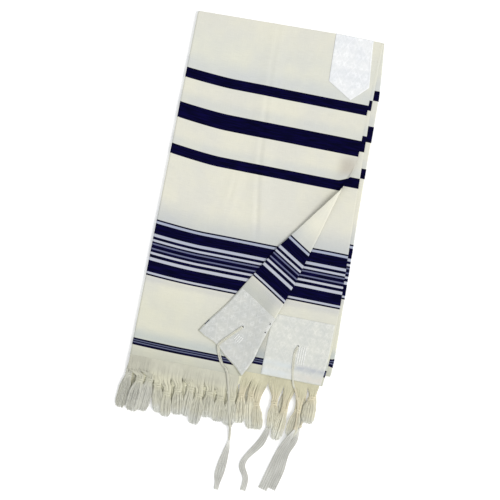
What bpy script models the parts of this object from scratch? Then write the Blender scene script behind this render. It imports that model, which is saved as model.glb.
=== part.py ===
"""A folded tallit (wool prayer shawl) lying flat, with knotted fringe and tzitzit.

The cloth is folded in half at mid-length and then in three across its width, so six layers
lie on each other.  From the top they are the upper panel, whose lower right corner is turned
back, the second panel, and four hidden layers that share one solid, layered at its edges.

Lengths in this file are millimetres, and the meshes are made in metres.  Points are given in
the garment's own directions: across, from the left fold to the right; along, from the
mid-length fold at the top down to the fringed end; and height above the surface it lies on.
"""
import math
from collections import namedtuple

import bmesh
import bpy
from mathutils import Matrix, Vector

MM = 0.001

# ---------------------------------------------------------------- driving sizes (mm)
PANEL_WIDTH = 424.5      # one third of the cloth's width
HALF_LENGTH = 800.0      # from the mid-length fold to the woven end
WALL = 1.5               # thickness of one layer of cloth
PATCH_WALL = 1.0         # thickness of the satin patches
GAP = 0.3                # clearance between pieces that touch
HIDDEN_LAYERS = 4

LAYER = WALL + GAP
CORE_TOP = HIDDEN_LAYERS * LAYER - GAP
SECOND_MID = CORE_TOP + GAP + WALL / 2
UPPER_MID = SECOND_MID + LAYER
PATCH_LIFT = WALL / 2 + GAP + PATCH_WALL / 2
TURNED_PATCH_LIFT = PATCH_LIFT + 0.2

# Rolled edges of the upper panel: the left fold goes down over four layers, the top over two.
EDGE_ZONE = 6.0
LEFT_FOLD_RADIUS = 2.7
TOP_FOLD_RADIUS = 0.9
FOLD_SWEEP = math.radians(165)
FOLD_CELLS = 4

# The mid-length fold is a little higher in its middle and right than at the left.
TOP_RISE = 9.6
TOP_RISE_SPAN = 318.0
TOP_RISE_FADE = 140.0

# The turned-back corner: a fold line that starts on the free selvage at the apex.
APEX_ALONG = 259.6
FOLD_ANGLE = math.radians(15.4)
TURN_RADIUS = 3.0
SETTLE_WIDTH = 55.0      # distance in which the turned cloth comes down on the panel
RESTING_LIFT = LAYER + 0.3
TURN_CELLS = 5
TURNED_CELLS = 5
TURNED_GRADING = 1.5     # how much closer the turned columns are beside the turn
PLAIN_ROWS = [40.0, 80.0, 120.0, 160.0, 200.0]
APEX_ROWS = 11
APEX_ROWS_ABOVE = 2.5
MIDDLE_ROWS = 9
PATCH_ROWS = 5
PLAIN_COLUMNS = [60.0, 110.0, 150.0, 175.0, 200.0, 228.0]
MIDDLE_SHARES = [0.35, 0.7]
TURN_START = 1 + len(PLAIN_COLUMNS) + len(MIDDLE_SHARES)
TURN_MIDDLE = TURN_START + TURN_CELLS // 2   # the column halfway round the turn
FOLD_ACROSS = math.cos(FOLD_ANGLE)
FOLD_ALONG = math.sin(FOLD_ANGLE)
HALF_TURN = math.pi * TURN_RADIUS / 2
TURN_CELL = 2 * HALF_TURN / FOLD_ACROSS / TURN_CELLS

# Near its end the turned corner is drawn to the left, and its tie pinches the cloth's end.
TIP_PULL = 22.0
TIP_PULL_FROM_ALONG = 727.0
TIP_PULL_FROM_ACROSS = 200.0
TIP_PULL_RUN = 70.0
PINCH = 6.0
PINCH_ACROSS = 190.0
PINCH_WIDTH = 30.0
PINCH_DEPTH = 60.0

# The upper panel lies a little higher where the second panel's corner patch is below it.
OVER_PATCH_LIFT = 1.5
OVER_PATCH_ACROSS = 255.0
OVER_PATCH_ACROSS_RUN = 40.0
OVER_PATCH_ALONG = 590.0
OVER_PATCH_ALONG_RUN = 45.0

PATCH_SIDE = 143.0       # square satin patches on the corners
PATCH_INSET = 1.5

Crease = namedtuple("Crease", "across_start along_start across_end along_end width height")
CREASES = [
    Crease(194.0, 15.0, 196.0, 240.0, 34.0, 1.1),
    Crease(196.0, 225.0, 228.0, 455.0, 34.0, 1.3),
    Crease(172.0, 330.0, 150.0, 470.0, 30.0, 0.9),
    Crease(70.0, 520.0, 110.0, 770.0, 46.0, 0.8),
]

EdgePoint = namedtuple("EdgePoint", "along across")
SECOND_RIGHT_EDGE = [
    EdgePoint(-8.0, 431.0),
    EdgePoint(149.0, 434.0),
    EdgePoint(331.0, 439.0),
    EdgePoint(480.0, 445.5),
    EdgePoint(617.0, 451.0),
    EdgePoint(730.0, 451.0),
    EdgePoint(785.0, 445.0),
]
CORE_RIGHT_EDGE = [
    EdgePoint(-6.0, 433.0),
    EdgePoint(60.0, 439.5),
    EdgePoint(122.0, 443.5),
    EdgePoint(306.0, 448.5),
    EdgePoint(500.0, 455.0),
    EdgePoint(740.0, 462.5),
    EdgePoint(763.0, 459.0),
]
SECOND_END = 787.5
CORE_END = 763.0
SECOND_LEFT = 4.8
SECOND_ROWS = 14
SECOND_COLUMNS = [0.0, 0.25, 0.5, 0.7, 0.85, 1.0]
TOP_FOLD_CLEARANCE = 0.9 # from the inside of the top fold to the second panel
CORE_TOP_POINTS = 8      # stretches along the hidden layers' top and end
CORE_END_POINTS = 6
CORE_LEFT_POINTS = 5

# Section through the hidden layers: how far each side is set back at each height.
CoreLevel = namedtuple("CoreLevel", "height left top right bottom")
CORE_LEVELS = [
    CoreLevel(0.00, 1.0, 0.9, 2.4, 3.2),
    CoreLevel(0.40, 0.8, 0.3, 1.5, 3.0),
    CoreLevel(1.50, 0.8, 0.0, 0.5, 3.0),
    CoreLevel(1.65, 3.4, 0.0, 0.4, 6.0),
    CoreLevel(1.80, 1.6, 0.0, 0.3, 1.2),
    CoreLevel(2.90, 1.6, 0.3, 0.1, 1.2),
    CoreLevel(3.30, 1.6, 0.9, 0.0, 1.2),
    CoreLevel(3.45, 5.4, 3.2, 0.0, 5.0),
    CoreLevel(3.60, 5.2, 0.9, 0.0, 0.0),
    CoreLevel(4.00, 5.2, 0.3, 0.1, 0.0),
    CoreLevel(5.10, 5.2, 0.0, 0.3, 0.0),
    CoreLevel(5.25, 5.6, 0.0, 0.4, 4.0),
    CoreLevel(5.40, 5.2, 0.0, 0.5, 0.8),
    CoreLevel(6.50, 5.2, 0.3, 1.5, 0.8),
    CoreLevel(CORE_TOP, 5.2, 0.9, 2.4, 0.8),
]

# The neck patch hangs over the mid-length fold and ends in a point.
NECK_LEFT = 320.0
NECK_RIGHT = 419.5
NECK_SHOULDER = 98.5
NECK_POINT = 133.7
NECK_COLUMNS = 8
NECK_ROWS = 5
PATCH_CELLS = 4          # of the second panel's flat patch, each way
SECOND_PATCH_INSET = 4.0

# Fringe: a narrow backing along the cloth's end, then tassels gathered to a knot.
BACKING_DEPTH = 3.0
ROOT_FILL = 0.92         # share of its place that a tassel's root takes up
LOCK_FILL = 0.86         # the same for one lock in its tassel
NECK_HALF_WIDTH = 3.4    # just above the knot
NECK_HALF_HEIGHT = 1.3
KNOT_HALF_WIDTH = 4.4
KNOT_HALF_HEIGHT = 1.6
PARTING_DROP = 6.0       # below the knot, where the locks part
PARTING_HALF_WIDTH = 2.9
PARTING_HALF_HEIGHT = 1.2
UPPER_LOCKS = 3
CORE_LOCKS = 2

# From the root (0) to the knot (1): place, then how far each size has gone from root to neck.
Gather = namedtuple("Gather", "share height_share narrowing thickening")
GATHER = [
    Gather(0.35, 0.30, 0.03, 0.0),
    Gather(0.66, 0.62, 0.48, 0.6),
    Gather(0.88, 0.88, 1.00, 1.0),
]
# From the knot (0) to the tip (1): place, then the share of the tip's width and of its drop.
Spread = namedtuple("Spread", "share width_share height_share half_height")
SPREAD = [
    Spread(0.26, 0.56, 0.10, 1.1),
    Spread(0.52, 0.86, 0.30, 1.2),
    Spread(0.82, 1.00, 0.64, 1.2),
    Spread(1.00, 0.72, 1.00, 0.8),
]
Knot = namedtuple("Knot", "across along tip_across tip_along tip_half_width tip_height")
Row = namedtuple("Row", "left right along mid backing_half knot_height")
UPPER_ROW = Row(1.0, 254.0, HALF_LENGTH + GAP, UPPER_MID, 0.7, 10.7)
SECOND_ROW = Row(5.0, 443.0, SECOND_END + GAP, SECOND_MID, 0.7, 6.6)
CORE_ROW = Row(6.5, 453.0, CORE_END + GAP, 3.4, 2.2, 2.9)

UPPER_KNOTS = [
    Knot(33.0, 853.5, 24.0, 928.0, 12.8, 6.0),
    Knot(55.0, 848.0, 51.5, 924.0, 12.2, 6.0),
    Knot(74.5, 854.5, 83.0, 918.5, 11.2, 6.0),
    Knot(99.5, 872.0, 106.5, 923.0, 11.2, 6.0),
    Knot(123.5, 859.0, 130.0, 915.0, 11.0, 6.0),
    Knot(151.0, 850.0, 149.7, 913.0, 7.2, 6.0),
    Knot(172.5, 861.5, 170.2, 929.0, 12.3, 6.0),
    Knot(195.5, 852.5, 199.0, 908.0, 12.8, 6.0),
    Knot(221.5, 859.0, 224.0, 912.0, 11.2, 6.0),
    Knot(247.0, 854.5, 250.5, 916.5, 13.2, 6.0),
]
# The second panel's tassels that show past the upper panel, by their place in the row, and
# what the covered ones have in common.
SECOND_TASSELS = 17
SECOND_HIDDEN = Knot(0.0, 840.0, 0.0, 905.0, 9.5, 3.4)
SECOND_KNOTS = {
    0: Knot(5.5, 845.0, -1.5, 925.0, 11.8, 3.4),
    10: Knot(268.0, 841.0, 275.0, 907.0, 10.0, 3.4),
    11: Knot(290.0, 838.0, 300.0, 915.0, 9.5, 3.4),
    12: Knot(304.0, 856.0, 325.0, 909.0, 10.0, 5.8),
    13: Knot(352.0, 841.0, 350.0, 902.0, 9.0, 5.8),
    14: Knot(369.0, 843.0, 363.5, 926.5, 9.5, 5.8),
    15: Knot(400.0, 846.0, 391.0, 912.0, 10.0, 5.8),
    16: Knot(429.0, 840.0, 418.0, 884.0, 9.0, 5.8),
}
# The hidden layers' row leaves out the places of two tzitzit and of one open space.
CORE_TASSELS = 19
CORE_HIDDEN = Knot(0.0, 812.0, 0.0, 882.0, 9.5, 1.9)
CORE_LEFT_OUT = (13, 14, 17)
CORE_KNOTS = {
    12: Knot(297.0, 812.0, 299.0, 880.0, 9.0, 1.9),
    15: Knot(366.5, 812.0, 368.0, 882.0, 8.0, 1.9),
    16: Knot(398.0, 812.0, 401.0, 880.0, 8.0, 1.9),
    18: Knot(439.0, 812.0, 434.0, 862.0, 6.0, 1.9),
}

# Tzitzit: a wound and knotted head, then eight strings in two layers of four.
Section = namedtuple("Section", "across along height half_width half_height")
Tzitzit = namedtuple("Tzitzit", "name head strings")
TZITZIT = [
    Tzitzit(
        "tzitzit_turned_corner",
        [
            Section(240.4, 689.6, 15.1, 3.2, 0.8),
            Section(213.0, 715.0, 15.1, 3.2, 0.8),
            Section(190.0, 738.5, 15.1, 2.8, 0.8),
            Section(187.5, 747.0, 15.3, 2.4, 1.3),
            Section(191.5, 757.0, 13.6, 2.2, 1.3),
            Section(202.0, 774.6, 13.2, 2.0, 1.4),
            Section(220.0, 788.3, 13.6, 3.2, 2.0),
            Section(228.0, 822.6, 13.3, 2.0, 1.5),
            Section(233.0, 839.7, 13.6, 2.6, 1.7),
            Section(241.0, 879.7, 13.4, 2.0, 1.5),
            Section(252.3, 918.1, 10.0, 2.6, 1.7),
            Section(258.2, 959.7, 4.2, 2.2, 1.5),
        ],
        [
            Section(261.5, 980.0, 2.6, 5.5, 0.75),
            Section(259.5, 1000.0, 2.5, 8.5, 0.75),
            Section(256.4, 1020.0, 2.5, 9.5, 0.75),
            Section(255.0, 1045.0, 2.5, 7.0, 0.75),
            Section(254.3, 1067.0, 2.5, 3.6, 0.75),
        ],
    ),
    Tzitzit(
        "tzitzit_hidden_left",
        [
            Section(349.6, 767.0, 3.0, 2.2, 1.4),
            Section(350.7, 822.6, 3.0, 2.6, 1.5),
            Section(344.5, 868.0, 2.9, 2.2, 1.4),
            Section(342.5, 893.0, 2.9, 2.6, 1.5),
        ],
        [
            Section(342.0, 911.0, 2.5, 6.0, 0.75),
            Section(326.0, 950.3, 2.5, 7.0, 0.75),
            Section(306.5, 979.5, 2.5, 6.6, 0.75),
            Section(304.5, 1000.0, 2.5, 6.4, 0.75),
            Section(317.0, 1028.3, 2.5, 6.0, 0.75),
            Section(314.0, 1053.0, 2.5, 4.8, 0.75),
        ],
    ),
    Tzitzit(
        "tzitzit_second_corner",
        [
            Section(373.4, 708.4, 11.2, 3.2, 0.8),
            Section(373.6, 750.0, 11.2, 3.2, 0.8),
            Section(374.0, 786.0, 11.4, 2.8, 1.2),
            Section(385.0, 804.3, 11.0, 2.4, 1.5),
            Section(394.5, 825.0, 11.2, 2.8, 1.9),
            Section(401.0, 852.3, 11.0, 2.2, 1.6),
            Section(403.0, 893.4, 10.2, 2.6, 1.8),
        ],
        [
            Section(396.5, 921.0, 9.0, 6.0, 0.75),
            Section(384.3, 954.4, 2.6, 7.0, 0.75),
            Section(372.0, 998.0, 2.5, 7.8, 0.75),
            Section(360.1, 1039.7, 2.5, 8.2, 0.75),
        ],
    ),
    Tzitzit(
        "tzitzit_hidden_right",
        [
            Section(421.0, 767.0, 2.9, 2.2, 1.3),
            Section(421.6, 850.0, 2.8, 2.2, 1.3),
            Section(414.0, 888.0, 2.8, 2.4, 1.4),
        ],
        [
            Section(411.0, 921.0, 2.5, 6.4, 0.75),
            Section(399.4, 954.4, 2.5, 7.0, 0.75),
            Section(389.5, 998.0, 2.5, 7.8, 0.75),
            Section(378.9, 1040.0, 2.5, 8.2, 0.75),
        ],
    ),
]
STRING_COLUMNS = 4
STRING_FILL = 0.82       # share of its place that a string takes up
STRING_PARTING = 0.35    # half the height between the two layers of strings

Finish = namedtuple("Finish", "name colour roughness")
WOOL = Finish("cream_wool", (0.80, 0.77, 0.66, 1.0), 0.9)
SATIN = Finish("white_satin", (0.84, 0.85, 0.86, 1.0), 0.45)
YARN = Finish("cream_yarn", (0.72, 0.70, 0.58, 1.0), 0.9)


# ---------------------------------------------------------------- small helpers
def smooth(value):
    """0 below 0, 1 above 1, and a soft step between."""
    value = min(max(value, 0.0), 1.0)
    return value * value * (3.0 - 2.0 * value)


def mix(start, end, share):
    return start + (end - start) * share


def edge_across(edge, along):
    """The across value of an edge table at one place, with straight runs between its rows."""
    for before, after in zip(edge, edge[1:]):
        if along <= after.along:
            share = (along - before.along) / (after.along - before.along)
            return mix(before.across, after.across, max(share, 0.0))
    return edge[-1].across


def material_for(finish):
    material = bpy.data.materials.get(finish.name)
    if material is None:
        material = bpy.data.materials.new(finish.name)
        material.use_nodes = True
        shader = material.node_tree.nodes["Principled BSDF"]
        shader.inputs["Base Color"].default_value = finish.colour
        shader.inputs["Roughness"].default_value = finish.roughness
        shader.inputs["Metallic"].default_value = 0.0
        material.diffuse_color = finish.colour
    return material


def to_space(across, along, height):
    """A garment point in metres: +X across, +Y towards the mid-length fold, +Z up."""
    return Vector((across, -along, height)) * MM


def object_from(name, bm, finish, collection):
    bmesh.ops.recalc_face_normals(bm, faces=bm.faces)
    mesh = bpy.data.meshes.new(name)
    bm.to_mesh(mesh)
    bm.free()
    mesh.materials.append(material_for(finish))
    piece = bpy.data.objects.new(name, mesh)
    collection.objects.link(piece)
    return piece


def sheet(name, rows, wall, finish, collection):
    """A cloth wall: an open grid of garment points given its thickness by Solidify.

    Each cell is split from its lower left to its upper right, the way the turned corner folds.
    """
    bm = bmesh.new()
    grid = [[bm.verts.new(to_space(*point)) for point in row] for row in rows]
    for upper, lower in zip(grid, grid[1:]):
        for column in range(len(upper) - 1):
            bm.faces.new((upper[column], lower[column], upper[column + 1]))
            bm.faces.new((upper[column + 1], lower[column], lower[column + 1]))
    mesh = bpy.data.meshes.new(name)
    bm.to_mesh(mesh)
    bm.free()
    mesh.materials.append(material_for(finish))
    piece = bpy.data.objects.new(name, mesh)
    collection.objects.link(piece)
    solidify = piece.modifiers.new("Wall", "SOLIDIFY")
    solidify.thickness = wall * MM
    solidify.offset = 0.0
    solidify.use_even_offset = True
    return piece


# ---------------------------------------------------------------- the upper panel's form
def crease_height(across, along):
    """Soft ridges that rise from the flat panel, each along a line of its own."""
    height = 0.0
    for crease in CREASES:
        run = Vector((crease.across_end - crease.across_start, crease.along_end - crease.along_start))
        offset = Vector((across - crease.across_start, along - crease.along_start))
        share = offset.dot(run) / run.length_squared
        nearest = run * min(max(share, 0.0), 1.0)
        distance = (offset - nearest).length
        if distance < crease.width:
            taper = math.sin(math.pi * min(max(share, 0.04), 0.96))
            profile = math.cos(distance / crease.width * math.pi / 2) ** 2
            height = max(height, crease.height * taper * profile)
    return height


def panel_mid(across, along):
    """Height of the middle of the upper panel's wall, over the second panel and its patch."""
    near_across = smooth((across - OVER_PATCH_ACROSS) / OVER_PATCH_ACROSS_RUN)
    near_along = smooth((along - OVER_PATCH_ALONG) / OVER_PATCH_ALONG_RUN)
    return UPPER_MID + crease_height(across, along) + OVER_PATCH_LIFT * near_across * near_along


def fold_distance(across, along):
    """Distance of a point of the flat cloth past the fold line of the turned corner."""
    return (across - PANEL_WIDTH) * FOLD_ACROSS + (along - APEX_ALONG) * FOLD_ALONG


def turned(across, along):
    """Where a point of the flat cloth comes to lie: its plan place and its lift."""
    distance = fold_distance(across, along)
    if distance <= -HALF_TURN:
        return across, along, 0.0
    if distance < HALF_TURN:
        angle = (distance + HALF_TURN) / TURN_RADIUS
        moved = TURN_RADIUS * math.sin(angle) - HALF_TURN
        lift = TURN_RADIUS * (1.0 - math.cos(angle))
    else:
        moved = -distance
        lift = mix(2 * TURN_RADIUS, RESTING_LIFT, smooth((distance - HALF_TURN) / SETTLE_WIDTH))
    shift = moved - distance
    return across + shift * FOLD_ACROSS, along + shift * FOLD_ALONG, lift


def drawn_in(across, along):
    """The pull to the left at the turned corner's end."""
    near_end = smooth((along - TIP_PULL_FROM_ALONG) / TIP_PULL_RUN)
    near_right = smooth((across - TIP_PULL_FROM_ACROSS) / TIP_PULL_RUN)
    return across - TIP_PULL * near_end * near_right, along


def pinched(across, along, cloth_along):
    """The pinch of the tie, which draws the cloth's end back a little."""
    near_end = smooth((cloth_along - (HALF_LENGTH - PINCH_DEPTH)) / PINCH_DEPTH)
    near_tie = math.cos(min(abs(across - PINCH_ACROSS) / PINCH_WIDTH, 1.0) * math.pi / 2) ** 2
    return across, along - PINCH * near_end * near_tie


def cloth_point(across, along):
    """Middle of the wall of the upper panel, for a point of its flat cloth."""
    placed_across, placed_along, lift = turned(across, along)
    placed_across, placed_along = drawn_in(placed_across, placed_along)
    if fold_distance(across, along) > HALF_TURN:
        placed_across, placed_along = pinched(placed_across, placed_along, along)
    return placed_across, placed_along, panel_mid(placed_across, placed_along) + lift


def risen(across, along):
    """Near the mid-length fold the cloth follows that fold's slight rise."""
    fade = max(1.0 - max(along, 0.0) / TOP_RISE_FADE, 0.0) ** 2
    return along - TOP_RISE * min(across / TOP_RISE_SPAN, 1.0) * fade


def edge_section(step, radius, outset=0.0):
    """Set-back from the outer face and drop, from the flat (0) to the end of the roll."""
    if step == 0:
        return EDGE_ZONE, 0.0
    angle = FOLD_SWEEP * (step - 1) / FOLD_CELLS
    reach = radius + outset
    return WALL / 2 + radius - reach * math.sin(angle), radius - reach * math.cos(angle) + outset


def rolled_point(left_step, top_step, across, along):
    """A point of the upper panel in its rolled left or top edge, or in their round corner."""
    if top_step == 0:
        inset, drop = edge_section(left_step, LEFT_FOLD_RADIUS)
        return inset, risen(inset, along), panel_mid(inset, along) - drop
    if left_step == 0:
        inset, drop = edge_section(top_step, TOP_FOLD_RADIUS)
        return across, risen(across, inset), UPPER_MID - drop
    step = max(left_step, top_step)
    turn = top_step / left_step / 2 if left_step >= top_step else 1.0 - left_step / top_step / 2
    radius = mix(LEFT_FOLD_RADIUS, TOP_FOLD_RADIUS, turn)
    inset, drop = edge_section(step, radius)
    reach = EDGE_ZONE - inset
    around = turn * math.pi / 2
    corner_across = EDGE_ZONE - reach * math.cos(around)
    corner_along = EDGE_ZONE - reach * math.sin(around)
    return corner_across, risen(corner_across, corner_along), UPPER_MID - drop


def along_stations():
    """Rows of the upper panel, closer together where the corner begins to turn.

    There a row is as far from the next as the fold line takes to cross one column.
    """
    row_step = TURN_CELL / math.tan(FOLD_ANGLE)
    stations = [EDGE_ZONE] + PLAIN_ROWS
    stations += [APEX_ALONG + (step - APEX_ROWS_ABOVE) * row_step for step in range(APEX_ROWS)]
    patch_start = HALF_LENGTH - PATCH_SIDE
    apex_end = stations[-1]
    stations += [mix(apex_end, patch_start, step / MIDDLE_ROWS) for step in range(1, MIDDLE_ROWS)]
    stations += [mix(patch_start, HALF_LENGTH, step / PATCH_ROWS) for step in range(PATCH_ROWS + 1)]
    return stations


def across_stations(along):
    """Columns of one row: plain cloth, the turn of the corner, then the turned cloth."""
    past_apex = (along - APEX_ALONG) * math.tan(FOLD_ANGLE)
    turn_width = TURN_CELLS * TURN_CELL
    turned_width = max(past_apex - turn_width / 2, TURNED_CELLS * TURN_CELL)
    turn_end = PANEL_WIDTH - turned_width
    turn_start = turn_end - turn_width
    stations = [EDGE_ZONE] + PLAIN_COLUMNS
    stations += [mix(PLAIN_COLUMNS[-1], turn_start, share) for share in MIDDLE_SHARES]
    stations += [mix(turn_start, turn_end, step / TURN_CELLS) for step in range(TURN_CELLS + 1)]
    for step in range(1, TURNED_CELLS + 1):
        even = step / TURNED_CELLS
        share = mix(even, even ** TURNED_GRADING, smooth(turned_width / SETTLE_WIDTH))
        stations.append(mix(turn_end, PANEL_WIDTH, share))
    return stations


def make_upper_panel(collection):
    rows = []
    top_columns = across_stations(EDGE_ZONE)
    left_steps = list(range(FOLD_CELLS + 1, 0, -1))
    for top_step in left_steps:
        row = [rolled_point(left_step, top_step, 0.0, 0.0) for left_step in left_steps]
        row += [rolled_point(0, top_step, across, 0.0) for across in top_columns]
        rows.append(row)
    for along in along_stations():
        row = [rolled_point(left_step, 0, 0.0, along) for left_step in left_steps]
        for across in across_stations(along):
            placed_across, placed_along, height = cloth_point(across, along)
            row.append((placed_across, risen(placed_across, placed_along), height))
        rows.append(row)
    return sheet("upper_panel", rows, WALL, WOOL, collection)


# ---------------------------------------------------------------- the layers below
def make_second_panel(collection):
    """The second layer: it lies inside the upper panel's folds and shows at the right."""
    top_clear = WALL + TOP_FOLD_CLEARANCE
    rows = []
    for step in range(SECOND_ROWS + 1):
        down = step / SECOND_ROWS
        row = []
        for share in SECOND_COLUMNS:
            right = edge_across(SECOND_RIGHT_EDGE, mix(top_clear - TOP_RISE, SECOND_END, down))
            across = mix(SECOND_LEFT, right, share)
            top = risen(across, 0.0) + top_clear
            row.append((across, mix(top, SECOND_END, down), SECOND_MID))
        rows.append(row)
    return sheet("second_panel", rows, WALL, WOOL, collection)


def core_outline(level):
    """The hidden layers' outline at one height, clockwise from the top left."""
    points = []
    right_start = CORE_RIGHT_EDGE[0].across - level.right
    for step in range(CORE_TOP_POINTS + 1):
        across = mix(level.left, right_start, step / CORE_TOP_POINTS)
        points.append((across, risen(across, 0.0) + GAP + level.top))
    for row in CORE_RIGHT_EDGE[1:-1]:
        points.append((row.across - level.right, row.along))
    last = CORE_RIGHT_EDGE[-1]
    for step in range(CORE_END_POINTS + 1):
        across = mix(last.across - level.right, level.left, step / CORE_END_POINTS)
        points.append((across, last.along - level.bottom))
    for step in range(CORE_LEFT_POINTS - 1, 0, -1):
        points.append((level.left, CORE_END * step / CORE_LEFT_POINTS))
    return points


def make_folded_core(collection):
    """Four hidden layers in one solid, flat below, with each layer's edge shown."""
    bm = bmesh.new()
    rings = []
    for level in CORE_LEVELS:
        outline = core_outline(level)
        rings.append([bm.verts.new(to_space(across, along, level.height)) for across, along in outline])
    for lower, upper in zip(rings, rings[1:]):
        for index in range(len(lower)):
            after = (index + 1) % len(lower)
            bm.faces.new((lower[index], lower[after], upper[after], upper[index]))
    bm.faces.new(rings[0])
    bm.faces.new(rings[-1])
    return object_from("folded_core", bm, WOOL, collection)


# ---------------------------------------------------------------- the satin patches
def make_neck_patch(collection):
    """The neck patch: laid on the upper panel and carried over the mid-length fold."""
    rows = []
    outset = PATCH_LIFT
    for step in range(FOLD_CELLS, 0, -1):
        inset, drop = edge_section(step, TOP_FOLD_RADIUS, outset)
        row = []
        for column in range(NECK_COLUMNS + 1):
            across = mix(NECK_LEFT, NECK_RIGHT, column / NECK_COLUMNS)
            row.append((across, risen(across, inset), UPPER_MID - drop + outset))
        rows.append(row)
    for step in range(1, NECK_ROWS + 1):
        row = []
        for column in range(NECK_COLUMNS + 1):
            share = column / NECK_COLUMNS
            across = mix(NECK_LEFT, NECK_RIGHT, share)
            point = 1.0 - abs(2.0 * share - 1.0)
            end = mix(NECK_SHOULDER, NECK_POINT, point)
            along = mix(EDGE_ZONE, end, step / NECK_ROWS)
            row.append((across, risen(across, along), panel_mid(across, along) + outset))
        rows.append(row)
    return sheet("neck_patch", rows, PATCH_WALL, SATIN, collection)


def reverse_normal(across, along):
    """Direction out of the cloth's reverse side, with across, along and height as its parts."""
    step = 0.5
    centre = Vector(cloth_point(across, along))
    run_across = Vector(cloth_point(across - step, along)) - centre
    run_along = Vector(cloth_point(across, along - step)) - centre
    return run_along.cross(run_across).normalized()


def make_turned_patch(collection):
    """The corner patch on the turned corner's reverse, from the panel's own points, moved out."""
    rows = []
    for along in along_stations():
        if along < HALF_LENGTH - PATCH_SIDE - 0.01:
            continue
        along = min(along, HALF_LENGTH - PATCH_INSET)
        row = []
        for across in across_stations(along)[TURN_MIDDLE:]:
            across = min(across, PANEL_WIDTH - PATCH_INSET)
            point = Vector(cloth_point(across, along))
            row.append(tuple(point + reverse_normal(across, along) * TURNED_PATCH_LIFT))
        rows.append(row)
    return sheet("corner_patch_turned", rows, PATCH_WALL, SATIN, collection)


def make_second_patch(collection):
    """The corner patch on the second panel, which the turned corner lays bare."""
    rows = []
    left = SECOND_RIGHT_EDGE[-1].across - PATCH_SIDE
    for step in range(PATCH_CELLS + 1):
        along = mix(SECOND_END - PATCH_SIDE, SECOND_END - PATCH_INSET, step / PATCH_CELLS)
        right = edge_across(SECOND_RIGHT_EDGE, along) - SECOND_PATCH_INSET
        row = []
        for column in range(PATCH_CELLS + 1):
            row.append((mix(left, right, column / PATCH_CELLS), along, SECOND_MID + PATCH_LIFT))
        rows.append(row)
    return sheet("corner_patch_second", rows, PATCH_WALL, SATIN, collection)


# ---------------------------------------------------------------- fringe and strings
def cross_pairs(bm, centre, direction, half_width, half_height, cells):
    """Lower and upper points of one section, from left to right across its direction."""
    side = Vector((direction[1], -direction[0]))
    side.normalize()
    pairs = []
    for index in range(cells + 1):
        offset = (2.0 * index / cells - 1.0) * half_width
        across = centre[0] + side.x * offset
        along = centre[1] + side.y * offset
        lower = bm.verts.new(to_space(across, along, centre[2] - half_height))
        upper = bm.verts.new(to_space(across, along, centre[2] + half_height))
        pairs.append((lower, upper))
    return pairs


def join_pairs(bm, before, after):
    """The walls between two sections with the same number of points."""
    for index in range(len(before) - 1):
        for level in (0, 1):
            bm.faces.new((
                before[index][level], before[index + 1][level],
                after[index + 1][level], after[index][level],
            ))
    for index in (0, -1):
        bm.faces.new((before[index][0], before[index][1], after[index][1], after[index][0]))


def add_lock(bm, start, sections):
    """One four-sided lock from two pairs of points through its sections to a closed end."""
    before = start
    for centre, direction, half_width, half_height in sections:
        after = cross_pairs(bm, centre, direction, half_width, half_height, 1)
        join_pairs(bm, before, after)
        before = after
    bm.faces.new((before[0][0], before[1][0], before[1][1], before[0][1]))


def add_tassel(bm, root, root_across, root_half, row, knot, locks):
    """A tassel: yarns gathered from the backing to a knot, then locks that spread to the tip."""
    start_along = row.along + BACKING_DEPTH
    before = root
    for step in GATHER:
        across = mix(root_across, knot.across, smooth(step.share))
        along = mix(start_along, knot.along, step.share)
        height = mix(row.mid, row.knot_height, step.height_share)
        half_width = mix(root_half, NECK_HALF_WIDTH, step.narrowing)
        half_height = mix(row.backing_half, NECK_HALF_HEIGHT, step.thickening)
        after = cross_pairs(bm, (across, along, height), (0.0, 1.0), half_width, half_height, locks)
        join_pairs(bm, before, after)
        before = after
    place = Vector((knot.across, knot.along))
    fall = Vector((knot.tip_across, knot.tip_along)) - place
    direction = fall.normalized()
    middle = (*place, row.knot_height)
    after = cross_pairs(bm, middle, (0.0, 1.0), KNOT_HALF_WIDTH, KNOT_HALF_HEIGHT, locks)
    join_pairs(bm, before, after)
    before = after
    middle = (*(place + direction * PARTING_DROP), row.knot_height)
    after = cross_pairs(bm, middle, direction, PARTING_HALF_WIDTH, PARTING_HALF_HEIGHT, locks)
    join_pairs(bm, before, after)
    side = Vector((direction.y, -direction.x))
    for lock in range(locks):
        slot = (2.0 * lock + 1.0) / locks - 1.0
        sections = []
        for step in SPREAD:
            half_width = knot.tip_half_width * step.width_share
            centre = place + fall * step.share + side * slot * half_width
            height = mix(row.knot_height, knot.tip_height, step.height_share)
            lock_half_width = LOCK_FILL * half_width / locks
            sections.append(((*centre, height), direction, lock_half_width, step.half_height))
        add_lock(bm, [after[lock], after[lock + 1]], sections)


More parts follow.
